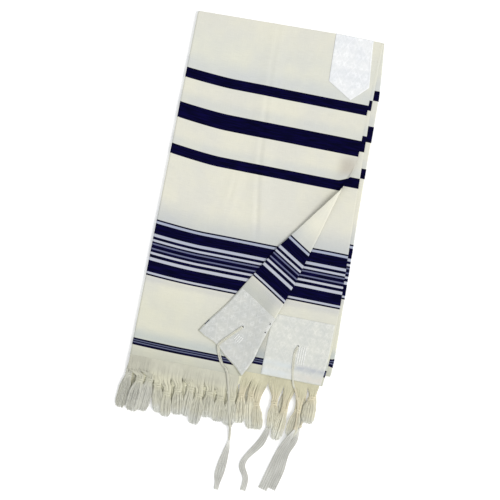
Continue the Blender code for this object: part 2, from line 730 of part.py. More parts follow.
def make_fringe(name, row, tassels, locks, collection):
    """A backing strip along the cloth's end with a tassel in each place that has a knot."""
    bm = bmesh.new()
    pitch = (row.right - row.left) / len(tassels)
    root_half = ROOT_FILL * pitch / 2
    stations = [row.left]
    for index, knot in enumerate(tassels):
        centre = row.left + (index + 0.5) * pitch
        if knot is not None:
            stations += [centre + (2.0 * cell / locks - 1.0) * root_half for cell in range(locks + 1)]
    stations.append(row.right)
    low = row.mid - row.backing_half
    high = row.mid + row.backing_half
    back = row.along
    front = row.along + BACKING_DEPTH
    backs = []
    fronts = []
    for across in stations:
        backs.append([bm.verts.new(to_space(across, back, height)) for height in (low, high)])
        fronts.append([bm.verts.new(to_space(across, front, height)) for height in (low, high)])
    for index in range(len(stations) - 1):
        for level in (0, 1):
            bm.faces.new((
                backs[index][level], backs[index + 1][level],
                fronts[index + 1][level], fronts[index][level],
            ))
        bm.faces.new((backs[index][0], backs[index][1], backs[index + 1][1], backs[index + 1][0]))
    for index in (0, -1):
        bm.faces.new((backs[index][0], backs[index][1], fronts[index][1], fronts[index][0]))
    place = 0
    for index, knot in enumerate(tassels):
        if knot is None:
            continue
        closed = place
        bm.faces.new((fronts[closed][0], fronts[closed][1], fronts[closed + 1][1], fronts[closed + 1][0]))
        root = fronts[closed + 1:closed + locks + 2]
        add_tassel(bm, root, row.left + (index + 0.5) * pitch, root_half, row, knot, locks)
        place += locks + 1
    bm.faces.new((fronts[place][0], fronts[place][1], fronts[place + 1][1], fronts[place + 1][0]))
    return object_from(name, bm, YARN, collection)


def hidden_knot(row, index, count, cover):
    """A tassel that others cover: a small sway of its own, from its place in the row."""
    across = row.left + (index + 0.5) * (row.right - row.left) / count
    knot_across = across + 2.5 * math.sin(2.1 * index)
    return cover._replace(
        across=knot_across,
        along=cover.along + 5.0 * math.sin(1.7 * index + 1.0),
        tip_across=knot_across + 2.0 * math.sin(1.3 * index),
        tip_along=cover.tip_along + 5.0 * math.sin(2.3 * index),
    )


def make_fringes(collection):
    make_fringe("fringe_upper", UPPER_ROW, UPPER_KNOTS, UPPER_LOCKS, collection)
    second = []
    for index in range(SECOND_TASSELS):
        hidden = hidden_knot(SECOND_ROW, index, SECOND_TASSELS, SECOND_HIDDEN)
        second.append(SECOND_KNOTS.get(index, hidden))
    make_fringe("fringe_second", SECOND_ROW, second, UPPER_LOCKS, collection)
    core = []
    for index in range(CORE_TASSELS):
        hidden = hidden_knot(CORE_ROW, index, CORE_TASSELS, CORE_HIDDEN)
        core.append(None if index in CORE_LEFT_OUT else CORE_KNOTS.get(index, hidden))
    make_fringe("fringe_core", CORE_ROW, core, CORE_LOCKS, collection)


def path_direction(sections, index):
    """The plan direction of a route at one of its sections."""
    before = sections[max(index - 1, 0)]
    after = sections[min(index + 1, len(sections) - 1)]
    return Vector((after.across - before.across, after.along - before.along)).normalized()


def head_ring(section, direction):
    """A grid of points of the head's section: five across and three high."""
    side = Vector((direction.y, -direction.x))
    ring = []
    for level in (-1, 0, 1):
        line = []
        for column in range(STRING_COLUMNS + 1):
            share = 2.0 * column / STRING_COLUMNS - 1.0
            bulge = 1.0 if level == 0 else 0.8
            offset = side * share * section.half_width * bulge
            height = section.height + level * section.half_height * (1.0 - 0.3 * share * share)
            line.append((section.across + offset.x, section.along + offset.y, height))
        ring.append(line)
    return ring


def rim(grid):
    """The outer points of a section's grid, in order round it."""
    lower, middle, upper = grid
    return lower + [middle[-1]] + upper[::-1] + [middle[0]]


def smoothed(route):
    """The route's sections, with one more on the curve between each two."""
    sections = [route[0]]
    for index in range(1, len(route)):
        before = route[max(index - 2, 0)]
        start = route[index - 1]
        end = route[index]
        after = route[min(index + 1, len(route) - 1)]
        halfway = [(9.0 * (b + c) - a - d) / 16.0 for a, b, c, d in zip(before, start, end, after)]
        sections += [Section(*halfway), end]
    return sections


def make_tzitzit(tzitzit, collection):
    """A knotted head whose end face divides into eight strings."""
    bm = bmesh.new()
    head = smoothed(tzitzit.head)
    strings = smoothed(tzitzit.strings)
    route = head + strings
    before = None
    for index, section in enumerate(head):
        points = head_ring(section, path_direction(route, index))
        is_end = index == len(head) - 1
        is_start = index == 0
        grid = []
        for level, line in enumerate(points):
            row = []
            for column, point in enumerate(line):
                inner = level == 1 and 0 < column < STRING_COLUMNS
                row.append(bm.verts.new(to_space(*point)) if is_end or is_start or not inner else None)
            grid.append(row)
        loop = rim(grid)
        if before is not None:
            for corner in range(len(loop)):
                after = (corner + 1) % len(loop)
                bm.faces.new((before[corner], before[after], loop[after], loop[corner]))
        if is_start:
            for level in (0, 1):
                for column in range(STRING_COLUMNS):
                    bm.faces.new((
                        grid[level][column], grid[level][column + 1],
                        grid[level + 1][column + 1], grid[level + 1][column],
                    ))
        before = loop
    for level in (0, 1):
        for column in range(STRING_COLUMNS):
            start = [
                (grid[level][column], grid[level + 1][column]),
                (grid[level][column + 1], grid[level + 1][column + 1]),
            ]
            add_lock(bm, start, string_sections(head[-1], strings, level, column))
    return object_from(tzitzit.name, bm, YARN, collection)


def string_sections(head_end, strings, level, column):
    """One string's sections: its place across the ribbon and in its layer."""
    sections = []
    route = [head_end] + strings
    slot = (2.0 * column + 1.0) / STRING_COLUMNS - 1.0
    for step, section in enumerate(strings):
        direction = path_direction(route, step + 1)
        side = Vector((direction.y, -direction.x))
        stagger = (0.22 if level else -0.22) * min(step, 1) / STRING_COLUMNS
        offset = side * (slot + stagger) * section.half_width
        above = (1 if level else -1) * (section.half_height + STRING_PARTING)
        centre = (section.across + offset.x, section.along + offset.y, section.height + above)
        half_width = STRING_FILL * section.half_width / STRING_COLUMNS
        sections.append((centre, direction, half_width, section.half_height))
    return sections


# ---------------------------------------------------------------- the whole garment
def centre_on_footprint(collection):
    """Moves the model so that its origin is the middle of its footprint."""
    bpy.context.view_layer.update()
    graph = bpy.context.evaluated_depsgraph_get()
    corners = []
    for piece in collection.objects:
        evaluated = piece.evaluated_get(graph)
        corners += [evaluated.matrix_world @ Vector(corner) for corner in evaluated.bound_box]
    middle_x = (min(c.x for c in corners) + max(c.x for c in corners)) / 2
    middle_y = (min(c.y for c in corners) + max(c.y for c in corners)) / 2
    for piece in collection.objects:
        piece.data.transform(Matrix.Translation((-middle_x, -middle_y, 0.0)))


def main():
    for old in list(bpy.data.objects):
        bpy.data.objects.remove(old, do_unlink=True)
    collection = bpy.data.collections.new("Tallit")
    bpy.context.scene.collection.children.link(collection)
    make_upper_panel(collection)
    make_second_panel(collection)
    make_folded_core(collection)
    make_neck_patch(collection)
    make_turned_patch(collection)
    make_second_patch(collection)
    make_fringes(collection)
    for tzitzit in TZITZIT:
        make_tzitzit(tzitzit, collection)
    centre_on_footprint(collection)


main()
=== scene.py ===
"""The looks of a folded tallit (wool prayer shawl) that lies flat.

The cloth is shown as thin shells on the solids' form, with its stripes kept in the flat cloth's
own coordinates, so that they run over the folds and the turned corner as woven stripes do.

Points are given in millimetres in the garment's own directions, as in the solids: across, from
the left fold to the right; along, from the mid-length fold at the top down to the fringed end;
and height above the surface it lies on.
"""
import math
import random
from collections import namedtuple

import bpy
import numpy as np
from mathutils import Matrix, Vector, noise


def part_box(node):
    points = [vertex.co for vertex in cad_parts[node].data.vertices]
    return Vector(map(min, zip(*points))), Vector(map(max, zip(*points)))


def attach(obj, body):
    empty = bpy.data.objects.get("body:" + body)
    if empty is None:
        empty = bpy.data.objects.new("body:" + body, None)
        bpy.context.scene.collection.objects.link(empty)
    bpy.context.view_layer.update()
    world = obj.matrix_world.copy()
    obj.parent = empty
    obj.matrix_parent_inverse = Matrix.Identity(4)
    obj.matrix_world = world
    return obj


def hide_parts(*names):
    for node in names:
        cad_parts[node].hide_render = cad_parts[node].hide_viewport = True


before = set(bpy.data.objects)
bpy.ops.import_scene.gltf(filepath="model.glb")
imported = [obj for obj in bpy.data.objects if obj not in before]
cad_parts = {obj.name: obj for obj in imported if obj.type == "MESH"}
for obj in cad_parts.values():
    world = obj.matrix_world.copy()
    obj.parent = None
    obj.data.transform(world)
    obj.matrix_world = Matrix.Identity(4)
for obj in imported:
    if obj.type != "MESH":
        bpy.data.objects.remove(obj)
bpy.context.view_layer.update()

MM = 0.001

# ---------------------------------------------------------------- sizes of the solids (mm)
PANEL_WIDTH = 424.5
HALF_LENGTH = 800
WALL = 1.5
GAP = 0.3
LAYER = WALL + GAP
CORE_TOP = 4 * LAYER - GAP
SECOND_MID = CORE_TOP + GAP + WALL / 2
UPPER_MID = SECOND_MID + LAYER
SECOND_END = 787.5
CORE_END = 763
SECOND_LEFT = 4.8
PATCH_SIDE = 143
PATCH_INSET = 1.5

EDGE_ZONE = 6            # the rolled edges at the left and the top are this wide
LEFT_FOLD_RADIUS = 2.7
TOP_FOLD_RADIUS = 0.9
FOLD_SWEEP = math.radians(165)   # how far they roll under

TOP_RISE = 9.6           # the mid-length fold rises by this much over its span
TOP_RISE_SPAN = 318
TOP_RISE_FADE = 140      # and the cloth below follows it less and less

APEX_ALONG = 259.6       # the corner is turned back along a line from here, at this angle
FOLD_ANGLE = math.radians(15.4)
FOLD_ACROSS = math.cos(FOLD_ANGLE)
FOLD_ALONG = math.sin(FOLD_ANGLE)
TURN_RADIUS = 2.2
APEX_RADIUS = 4.8        # the turn is softer at the fold's apex
APEX_SLACK = 4.5         # and the cloth there isn't drawn over all the way
HALF_TURN = math.pi * TURN_RADIUS / 2
WIDEST_TURN = math.pi * APEX_RADIUS
SETTLE_WIDTH = 55        # past the turn the cloth comes down to rest over this width
ROLL_RUN = [74, 80, 90, 100, 120, 150, 180, 220, 262]            # places down the fold line
ROLL_SHARE = [0.04, 0.11, 0.25, 0.37, 0.54, 0.71, 0.82, 0.925, 1]      # laid over there
FREE_EDGE_CURL = 4.4     # the turned corner's free edge stands up a little
FREE_EDGE_WIDTH = 45
RESTING_LIFT = LAYER + 0.3

EDGE_PULL = 9            # the lower half of the fold is drawn in by this much
EDGE_PULL_ALONG = (560, 190)     # the start and run of that
TIP_PULL = 13            # and its tip by this much more
TIP_PULL_ALONG = (750, 65)
PINCH = 6                # the turned corner's end is drawn up under its tzitzit
PINCH_ACROSS = 190
PINCH_WIDTH = 30
PINCH_DEPTH = 60

OVER_PATCH_LIFT = 1.5    # of the upper panel over the second panel's patch
OVER_PATCH_ACROSS = (255, 40)    # the start and run of that
OVER_PATCH_ALONG = (590, 45)

SWELL = 4.8              # of the panel beside the turned corner's free edge
SWELL_ASIDE = 12
SWELL_WIDTH = 25

CORNER_PULL_ACROSS = 5   # the very corner is drawn in by this much
CORNER_PULL_ALONG = 7

NECK_LEFT = 320
NECK_RIGHT = 419.5
NECK_SHOULDER = 98.5
NECK_POINT = 133.7
NECK_SLANT = 4.5         # the patch's left edge leans in by this much, and its right edge by less
NECK_TIP = 377           # where the point of its hem lies across

# Where a garment point lies in the row's frame.
ORIGIN_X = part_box("upper_panel")[0].x
ORIGIN_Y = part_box("second_panel")[0].y + SECOND_END * MM

# ---------------------------------------------------------------- sizes of the shells (mm)
CLOTH = 1.1              # thickness of the shown cloth
SATIN = 0.6              # thickness of the shown patches
PATCH_OUTSET = CLOTH / 2 + 0.15 + SATIN / 2
PATCH_TOP = PATCH_OUTSET + SATIN / 2
SECOND_PATCH_INSET = 4   # from the second panel's right edge
SECOND_TOP = WALL + 0.9  # the second panel's start, below the mid-length fold
SECOND_SHIFT = HALF_LENGTH - SECOND_END          # from its along to that of its flat cloth
PATCH_VALLEY = (757, 7)  # a valley and a rolled hem across it, at its patch: middle and width
PATCH_HEM = (776, 6.5)
FOLD_CELLS = 10          # in a rolled edge
TURN_CELLS = 16          # in the turn of the corner
TURN_CELL = WIDEST_TURN / FOLD_ACROSS / TURN_CELLS
TURNED_CELLS = 34        # in the turned cloth
PLAIN_CELLS = 104        # in the rest of the panel
ROW_STEP = 3.4           # of the upper panel
CELL = 3.5               # of the second panel
COVERED_SHARE = 0.56     # of the second panel's width lies under the upper one, with wide cells

# Soft ridges and troughs of the upper panel, each along a line of its own.
Crease = namedtuple("Crease", "across_start along_start across_end along_end width height")
CREASES = [Crease(*row) for row in [
    (188, -60, 198, 330, 34, 1.5), (190, 120, 234, 520, 36, 2), (164, 310, 148, 470, 26, 1.2),
    (70, 520, 110, 770, 46, 0.8),
]]
FINE_CREASES = [Crease(*row) for row in [
    (262, 20, 268, 190, 9, 0.16), (118, 60, 112, 300, 10, 0.14), (60, 350, 66, 500, 10, 0.14),
    (150, 640, 156, 790, 9, 0.22), (330, 150, 318, 330, 9, 0.16),
]]

# Pressed folds of the upper panel: fine grooves, with their place and depth at places along it.
Groove = namedtuple("Groove", "along across depth width")
GROOVES = [
    Groove(
        [-20, 45, 95, 190, 290, 370, 410, 450, 490],
        [190, 190, 190, 196, 203, 212, 219, 225.5, 232],
        [0.3, 0.6, 0.9, 1.3, 1.6, 1.7, 2.3, 2.1, 0],
        9,
    ),
    Groove([330, 390, 450], [160, 156, 151], [0, 1, 0], 8),
]

# Stripes of the cloth, as distances from the mid-length fold along the flat cloth.
NAVY_STRIPES = [
    (138, 161.2), (220.3, 257.2), (318.2, 341.4),
    (493.4, 497), (502.4, 526), (532.6, 538.6), (543.5, 567.4), (572.4, 579.2), (586.2, 611.8),
    (616.4, 620.2), (763.4, 767.3), (769.3, 771.9), (774.2, 779.4),
]
WHITE_GROUND = (495, 618)
SLATE_GROUND = (765, 777)
SLATE_LINES = [(547.5, 550.6), (558.2, 561.4)]
CREAM = (219, 218, 206)
WHITE = (184, 188, 200)
NAVY = (1, 1, 30)
NAVY_STREAK = (7, 4, 54)
SLATE = (104, 109, 138)
STRIPE_SOFT = 0.3        # how soft the stripes' edges are
WEAVE_PITCH = 1.3

# How far the stripes bow up towards the left fold, at places along the cloth.
BOW_ALONG = [0, 150, 240, 330, 500, 770]
BOW_DEPTH = [7.4, 7.4, 10.4, 10.6, 7, 2.7]
BOW_WIDTH = 114          # from the left fold on

# Soft changes of tone: the stripes of the layers below show faintly through the wool. The washes from 640
# and from 780 on are painted shade, darker towards the fringed end.
Wash = namedtuple("Wash", "start end soft tint")
WASHES = [Wash(*row) for row in [
    (40, 150, 40, (251, 253, 255)), (112, 150, 20, (242, 245, 254)),
    (198, 236, 12, (243, 246, 252)), (300, 330, 10, (243, 246, 252)),
    (466, 525, 34, (226, 231, 243)), (620, 633, 8, (240, 241, 248)),
    (640, 900, 60, (247, 248, 245)), (780, 900, 22, (232, 233, 231)),
    (745, 768, 14, (228, 235, 246)),
]]

# The patches' satin: its ground, and its woven figure, a real pattern painted a little lighter as the
# satin figure's sheen.
NECK_COLOURS = ((231, 232, 233), (239, 240, 241))
TURNED_COLOURS = ((199, 200, 195), (209, 210, 206))
SECOND_COLOURS = ((210, 211, 204), (219, 219, 212))
DAMASK_WIDTH = 27        # one repeat of the figure
DAMASK_HEIGHT = 39
SATIN_RIB = 0.7
# painted shade inside the eyelets' holes, which are not cut
EYELET_SHADE = (92, 93, 88)
# Painted light and shade at the second patch's hem: painted shade in the valley beside it, and a warm
# painted light on its roll.
SECOND_HEM_SHADING = [           # each wash has the tint of the right half, and then that of the left
    (Wash(764, 775, 8, (177, 181, 187)), (205, 211, 211)),
    (Wash(783, 796, 6, (209, 206, 198)), (208, 213, 213)),
]
TURNED_EYELETS = [(362.4, 723.2, 2.7), (315.9, 673.1, 1.8), (310.3, 694.2, 1.8)]
SECOND_EYELETS = [(373.4, 720.9, 2.9)]
STITCH = 2.4             # length of a stitch along a patch's hem
STITCH_PITCH = 3.2
STITCH_INSET = 4.2       # from the patch's edge

# Colours along the yarns: from each length on (mm), the yarn's colour.
# The leftmost tassels start at GREYER, covered ones at COVERED, and loops at WOUND. A winding
# starts at WOUND or WARMER and is up to 3 m long.
GREYER = 200
GREYER_ACROSS = 60       # tassels up to here are the leftmost ones
# Covered tassels have one flat tone, a little darker and yellower than the shown tufts: a painted shade of
# the gaps between the tassels above them.
COVERED = 500
LIGHTER = 300
WOUND = 600
WARMER = 5000
KNOT_LENGTH_ON = 60      # a tassel's knot and its tuft start this far along the yarn
TUFT_LENGTH_ON = 80
FRINGE_ZONES = [
    (0, (205, 204, 188)), (34, (217, 215, 194)), (92, (220, 219, 203)), (126, (221, 222, 214)),
    (GREYER - 20, (196, 195, 180)), (GREYER + 40, (210, 209, 192)), (GREYER + 90, (212, 212, 202)),
]
LOWER_FRINGE_ZONES = [
    (0, (211, 207, 180)), (40, (224, 217, 191)), (92, (229, 226, 206)), (130, (230, 230, 218)),
    (GREYER - 20, (208, 208, 196)), (COVERED - 20, (226, 224, 200)),
]
CORD_ZONES = [
    (0, (217, 217, 210)), (LIGHTER - 20, (238, 238, 232)), (WOUND - 20, (218, 217, 203)),
    (WARMER - 20, (228, 221, 197)),
]

# Tassels: where each knot lies, and where its tuft ends. In a row, gather is the share of a yarn
# where it starts to come in to its knot, and tight is half a bundle's width at the knot.
Knot = namedtuple("Knot", "across along tip_across tip_along tip_half_width tip_height")
Row = namedtuple("Row", "left right along mid knot_height gather tight")
UPPER_ROW = Row(1, 254, HALF_LENGTH, UPPER_MID, 10.7, 0.6, 8.4)
SECOND_ROW = Row(5, 438, SECOND_END, SECOND_MID, 6.6, 0.22, 7)
CORE_ROW = Row(6.5, 442, CORE_END, 3.4, 2.9, 0.3, 6)
DRAWN_AT = 328           # the lower rows' yarns are drawn aside here, and leave a gap
DRAWN_BY = 16
DRAWN_WIDTH = 22
UPPER_KNOTS = [Knot(*row) for row in [
    (33, 853.5, 26, 930, 15.6, 6), (55, 849, 49, 925, 13.5, 6), (74.5, 857, 90, 921, 12.5, 6),
    (99.5, 872, 106, 926.5, 11.6, 6), (123.5, 859, 132, 918, 12.4, 6),
    (151, 851, 150, 917, 9.6, 6), (172.5, 861.5, 172.5, 932, 13.4, 6),
    (195.5, 852.5, 199, 911, 13.6, 6), (221.5, 859, 224, 915, 13, 6),
    (247, 855.5, 250.5, 919, 14.4, 6),
]]
SECOND_TASSELS = 17
SECOND_HIDDEN = Knot(0, 843, 0, 893, 12, 4.2)
SECOND_KNOTS = {
    0: Knot(5.5, 845, -1.5, 927, 12.6, 3.4),
    10: Knot(268, 843, 275, 909, 12, 3.4),
    11: Knot(289, 840, 303, 917, 11.5, 3.4),
    12: Knot(305, 856, 320, 915.5, 11.5, 5.8),
    13: Knot(345, 846, 350, 908, 12, 5.8),
    14: Knot(370.5, 857, 362, 931, 12.4, 5.8),
    15: Knot(401, 853, 394, 918, 12.5, 5.8),
    16: Knot(427.5, 818, 427, 880, 14.5, 5.8),
}
CORE_TASSELS = 19
CORE_HIDDEN = Knot(0, 816, 0, 884, 12.5, 1.9)
CORE_LEFT_OUT = (13, 14, 17)
CORE_KNOTS = {
    11: Knot(277, 815, 280, 884, 10, 1.9),
    12: Knot(295, 814, 299, 882, 9, 1.9),
    15: Knot(366.5, 814, 368, 886, 10.5, 1.9),
    16: Knot(408, 816, 406, 888, 12, 1.9),
    18: Knot(430, 806, 432, 868, 9, 1.9),
}
FRINGE_YARN = 0.75       # radius of a fringe yarn
FRAY = 0.66              # radius of a yarn that is frayed below its knot
YARNS_IN_TASSEL = 24
COVERED_YARNS = 14       # yarns in a tassel that others cover
YARN_POINTS = 13
YARN_TUCK = 2.5          # a yarn starts this far inside the cloth
GATHERED_SHARE = 0.86    # of its length, where it has come in to the knot's width
PLIES = 3                # strands that a tassel's yarns are twisted into

# Tzitzit: loops from the corner's hole, then knots and windings, then eight strings.
Section = namedtuple("Section", "across along height half_width half_height")
Tzitzit = namedtuple("Tzitzit", "name node loop wound strings knots tone")
STRING = 0.78            # radius of a string
END_PLIES = 16           # below the last knot each of the eight strings is open in two plies
END_PLY = 0.62
WINDING = 0.62           # radius of the winding string
WINDING_PITCH = 2.1 * WINDING


# ---------------------------------------------------------------- small helpers
def smooth(value):
    """0 below 0, 1 above 1, and a soft step between."""
    value = min(max(value, 0), 1)
    return value * value * (3 - 2 * value)


def rise(value, start, run):
    """0 before the start and 1 after the run, with a soft step between."""
    return smooth((value - start) / run)


def hill(value, middle, width):
    """A soft hump of height 1."""
    return math.exp(-(((value - middle) / width) ** 2))


def mix(start, end, share):
    return start + (end - start) * share


def catmull(before, start, end, after, share):
    """A value on the smooth curve through four even values, between the middle two."""
    slope_start = (end - before) / 2
    slope_end = (after - start) / 2
    square = share * share
    cube = square * share
    return (
        start * (2 * cube - 3 * square + 1)
        + slope_start * (cube - 2 * square + share)
        + end * (3 * square - 2 * cube)
        + slope_end * (cube - square)
    )


def smooth_route(sections, steps):
    """Rows of a table of numbers, with smooth rows between them."""
    rows = []
    for index in range(len(sections) - 1):
        before = sections[max(index - 1, 0)]
        after = sections[min(index + 2, len(sections) - 1)]
        for step in range(steps):
            values = zip(before, sections[index], sections[index + 1], after)
            rows.append([catmull(*value, step / steps) for value in values])
    rows.append(list(sections[-1]))
    return rows


def to_space(across, along, height):
    """A garment point in the row's frame, in metres."""
    return (ORIGIN_X + across * MM, ORIGIN_Y - along * MM, height * MM)


def linear(colour):
    """A linear colour from screen values of 0 to 255."""
    shares = [value / 255 for value in colour]
    return tuple(s / 12.92 if s <= 0.04045 else ((s + 0.055) / 1.055) ** 2.4 for s in shares) + (1.0,)


def ripple(across, along, size):
    """A smooth random value of about -1 to 1 that changes over the given size."""
    return noise.noise(Vector((across / size, along / size, 3.7)))


# ---------------------------------------------------------------- materials
class Signal:
    """A node's output. Sums, differences, products and quotients of it are Math nodes."""

    def __init__(self, paint, socket):
        self.paint = paint
        self.socket = socket

    def __add__(self, other):
        return self.paint.math("ADD", self, other)

    def __sub__(self, other):
        return self.paint.math("SUBTRACT", self, other)

    def __mul__(self, other):
        return self.paint.math("MULTIPLY", self, other)

    def __truediv__(self, other):
        return self.paint.math("DIVIDE", self, other)


class Paint:
    """A material's nodes, made with short calls. Colours are screen values of 0 to 255."""

    def __init__(self, name):
        self.material = bpy.data.materials.new(name)
        self.material.use_nodes = True
        self.tree = self.material.node_tree
        self.shader = self.tree.nodes["Principled BSDF"]

    def feed(self, socket, value):
        if isinstance(value, Signal):
            self.tree.links.new(value.socket, socket)
        else:
            socket.default_value = linear(value) if isinstance(value, tuple) else value

    def node(self, kind, *values, out=0, **settings):
        """A new node's output. The values go to its inputs in turn, and None leaves one as it is."""
        made = self.tree.nodes.new("ShaderNode" + kind)
        for name, value in settings.items():
            setattr(made, name, value)
        for socket, value in zip(made.inputs, values):
            if value is not None:
                self.feed(socket, value)
        return Signal(self, made.outputs[out])

    def math(self, operation, *values):
        return self.node("Math", *values, operation=operation)

    def remap(self, value, low, high, to_low=0, to_high=1):
        return self.node("MapRange", value, low, high, to_low, to_high, interpolation_type="SMOOTHSTEP")

    def band(self, value, start, end, soft):
        """1 between the two ends, with edges this soft."""
        away = self.math("ABSOLUTE", value - (start + end) / 2)
        half = (end - start) / 2
        return self.remap(away, half - soft, half + soft, 1, 0)

    def stripes(self, value, table):
        total = self.band(value, *table[0], STRIPE_SOFT)
        for ends in table[1:]:
            total = self.math("MAXIMUM", total, self.band(value, *ends, STRIPE_SOFT))
        return total

    def vector(self, across, along, third=0):
        return self.node("CombineXYZ", across, along, third)

    def noise(self, vector, scale, detail=2, roughness=0.5):
        return self.node("TexNoise", vector, None, scale, detail, roughness)

    def blend(self, share, first, second, mode="MIX"):
        return self.node(
            "Mix", share, *[None] * 5, first, second, out=2, data_type="RGBA", blend_type=mode,
        )

    def shade(self, colour, depth):
        """The colour, made darker or lighter by a grey value."""
        return self.blend(1, colour, self.node("CombineColor", depth, depth, depth), "MULTIPLY")

    def set(self, **values):
        """Sets the shader's own sockets, with _ for each space in a socket's name."""
        for name, value in values.items():
            self.feed(self.shader.inputs[name.replace("_", " ")], value)

    def bump(self, height, strength, distance):
        made = self.tree.nodes.new("ShaderNodeBump")
        for name, value in (("Strength", strength), ("Distance", distance), ("Height", height)):
            self.feed(made.inputs[name], value)
        self.tree.links.new(made.outputs[0], self.shader.inputs["Normal"])

    def flat_cloth(self):
        """Across and along of the flat cloth, in millimetres."""
        place = self.node("UVMap", uv_map="Cloth")
        return [self.node("SeparateXYZ", place, out=axis) * 1000 for axis in (0, 1)]


def thread_streaks(paint, across, along):
    """Uneven threads: long thin streaks along both directions of the cloth."""
    weft = paint.noise(paint.vector(across * 0.03, along), 1.4)
    warp = paint.noise(paint.vector(across, along * 0.03, 5), 1.4)
    return weft * 0.6 + warp * 0.4


def striped_wool():
    paint = Paint("striped_wool")
    across, along = paint.flat_cloth()
    place = paint.vector(across, along)
    woven = along + paint.noise(place, 2.2, 3) * 0.8 - 0.4
    navy = paint.stripes(woven, NAVY_STRIPES)
    colour = paint.blend(paint.stripes(woven, [WHITE_GROUND]), CREAM, WHITE)
    colour = paint.blend(paint.stripes(woven, [SLATE_GROUND]), colour, SLATE)
    weft = paint.noise(paint.vector(across * 0.02, along * 0.3), 1.3)
    streaked = paint.blend(paint.remap(weft, 0.4, 0.66), NAVY, NAVY_STREAK)
    colour = paint.blend(navy, colour, streaked)
    colour = paint.blend(paint.stripes(woven, SLATE_LINES), colour, SLATE)

    cloud = paint.remap(paint.noise(place, 0.009, 3, 0.6), 0.35, 0.65)
    colour = paint.blend(1, colour, paint.blend(cloud, (248, 248, 250), (255, 254, 250)), "MULTIPLY")
    # washes: lower stripes showing through, and painted shade towards the fringed end
    for wash in WASHES:
        colour = paint.blend(paint.band(along, *wash[:3]), colour, wash.tint, "MULTIPLY")
    # painted shade: on the turned corner's cloth above its patch, a shadow in the wedge beside the turned
    # corner, and the dip's shade over the fold's apex
    past_fold = fold_distance(across, along)
    painted_shades = [       # above the turned patch, beside the turned corner, and over the fold's apex
        (paint.remap(past_fold, -4, 30), paint.band(along, 628, 700, 16), (225, 228, 234)),
        (paint.band(across, -304, -268, 9), paint.band(along, 676, 768, 12), (229, 230, 238)),
        (paint.band(across, 388, 424, 15), paint.band(along, 264, 306, 17), (233, 228, 224)),
    ]
    for beside, down, tint in painted_shades:
        colour = paint.blend(beside * down, colour, tint, "MULTIPLY")
    streaks = thread_streaks(paint, across, along)
    turn = 2 * math.pi / WEAVE_PITCH
    threads = paint.math("SINE", across * turn) * paint.math("SINE", along * turn)
    paint.bump(threads * 0.25 + streaks * 1.4 + navy * 0.4, 0.5, 0.00035)
    paint.set(
        Base_Color=paint.shade(colour, paint.remap(streaks, 0.35, 0.65, 0.95, 1.03)),
        Roughness=paint.remap(streaks, 0.3, 0.7, 0.78, 0.92),
        Specular_IOR_Level=navy * -0.17 + 0.22,
        Sheen_Weight=navy * -0.07 + 0.08,
        Sheen_Roughness=0.5,
    )
    return paint.material


def flowers(paint, across, along, shift):
    """A repeat of small round flowers with eight petals, one in each of the damask's cells."""
    x, y = (
        (paint.math("FRACT", (value + 40 * size) / size + shift) - 0.5) * size
        for value, size in ((across, DAMASK_WIDTH), (along, DAMASK_HEIGHT))
    )
    radius = paint.math("SQRT", x * x + y * y)
    lobes = paint.math("COSINE", paint.math("ARCTAN2", y, x) * 8)
    return paint.remap(lobes * 1.5 + 6.4 - radius, -0.4, 0.4) * paint.remap(radius, 1.4, 2)


def satin_damask(name, ground, figured, eyelets=(), hem=()):
    """Satin with a woven lattice of diamonds, a flower in each, and painted shade in its eyelets' holes if
    it has any.

    The hem's washes paint shade where the satin dips beside its folded hem and a warm painted light where
    it rises over it, each with a tint for its left half and one for its right half.
    """
    paint = Paint(name)
    across, along = paint.flat_cloth()
    place = paint.vector(across, along)
    across_wave = paint.math("COSINE", across * (2 * math.pi / DAMASK_WIDTH))
    along_wave = paint.math("COSINE", along * (2 * math.pi / DAMASK_HEIGHT))
    figure = paint.band(across_wave + along_wave, -0.13, 0.13, 0.04)
    for shift in (0.5, 0):
        figure = paint.math("MAXIMUM", figure, flowers(paint, across, along, shift))
    # the figure's lighter colour, varied by shine, is a painted sheen
    shine = paint.remap(paint.noise(place, 0.05), 0.38, 0.62, 0.25, 1)
    colour = paint.blend(figure * shine, ground, figured)
    for size, low in ((0.03, (247, 248, 250)), (0.1, (249, 250, 250))):
        cloud = paint.remap(paint.noise(place, size, 3), 0.38, 0.62, 1, 0)
        colour = paint.blend(cloud, colour, low, "MULTIPLY")
    # painted shade in the valley and painted light on the hem's roll
    for wash, left_tint in hem:
        tint = paint.blend(paint.remap(across, 350, 392), left_tint, wash.tint)
        uneven = paint.remap(paint.noise(place, 0.06, 1), 0.3, 0.6, 0.45, 1)
        colour = paint.blend(paint.band(along, *wash[:3]) * uneven, colour, tint)
    # each eyelet's hole is a dark spot of painted shade
    for middle_across, middle_along, radius in eyelets:
        x, y = across - middle_across, along - middle_along
        hole = paint.remap(x * x + y * y, 0.55 * radius**2, 1.3 * radius**2, 1, 0)
        colour = paint.blend(hole, colour, EYELET_SHADE)
    ribs = paint.math("SINE", along * (2 * math.pi / SATIN_RIB)) * (figure * -0.8 + 1)
    paint.bump(ribs * 0.2 + figure, 0.3, 0.0003)
    paint.set(Base_Color=colour, Roughness=figure * -0.12 + 0.55, Specular_IOR_Level=0.3)
    return paint.material


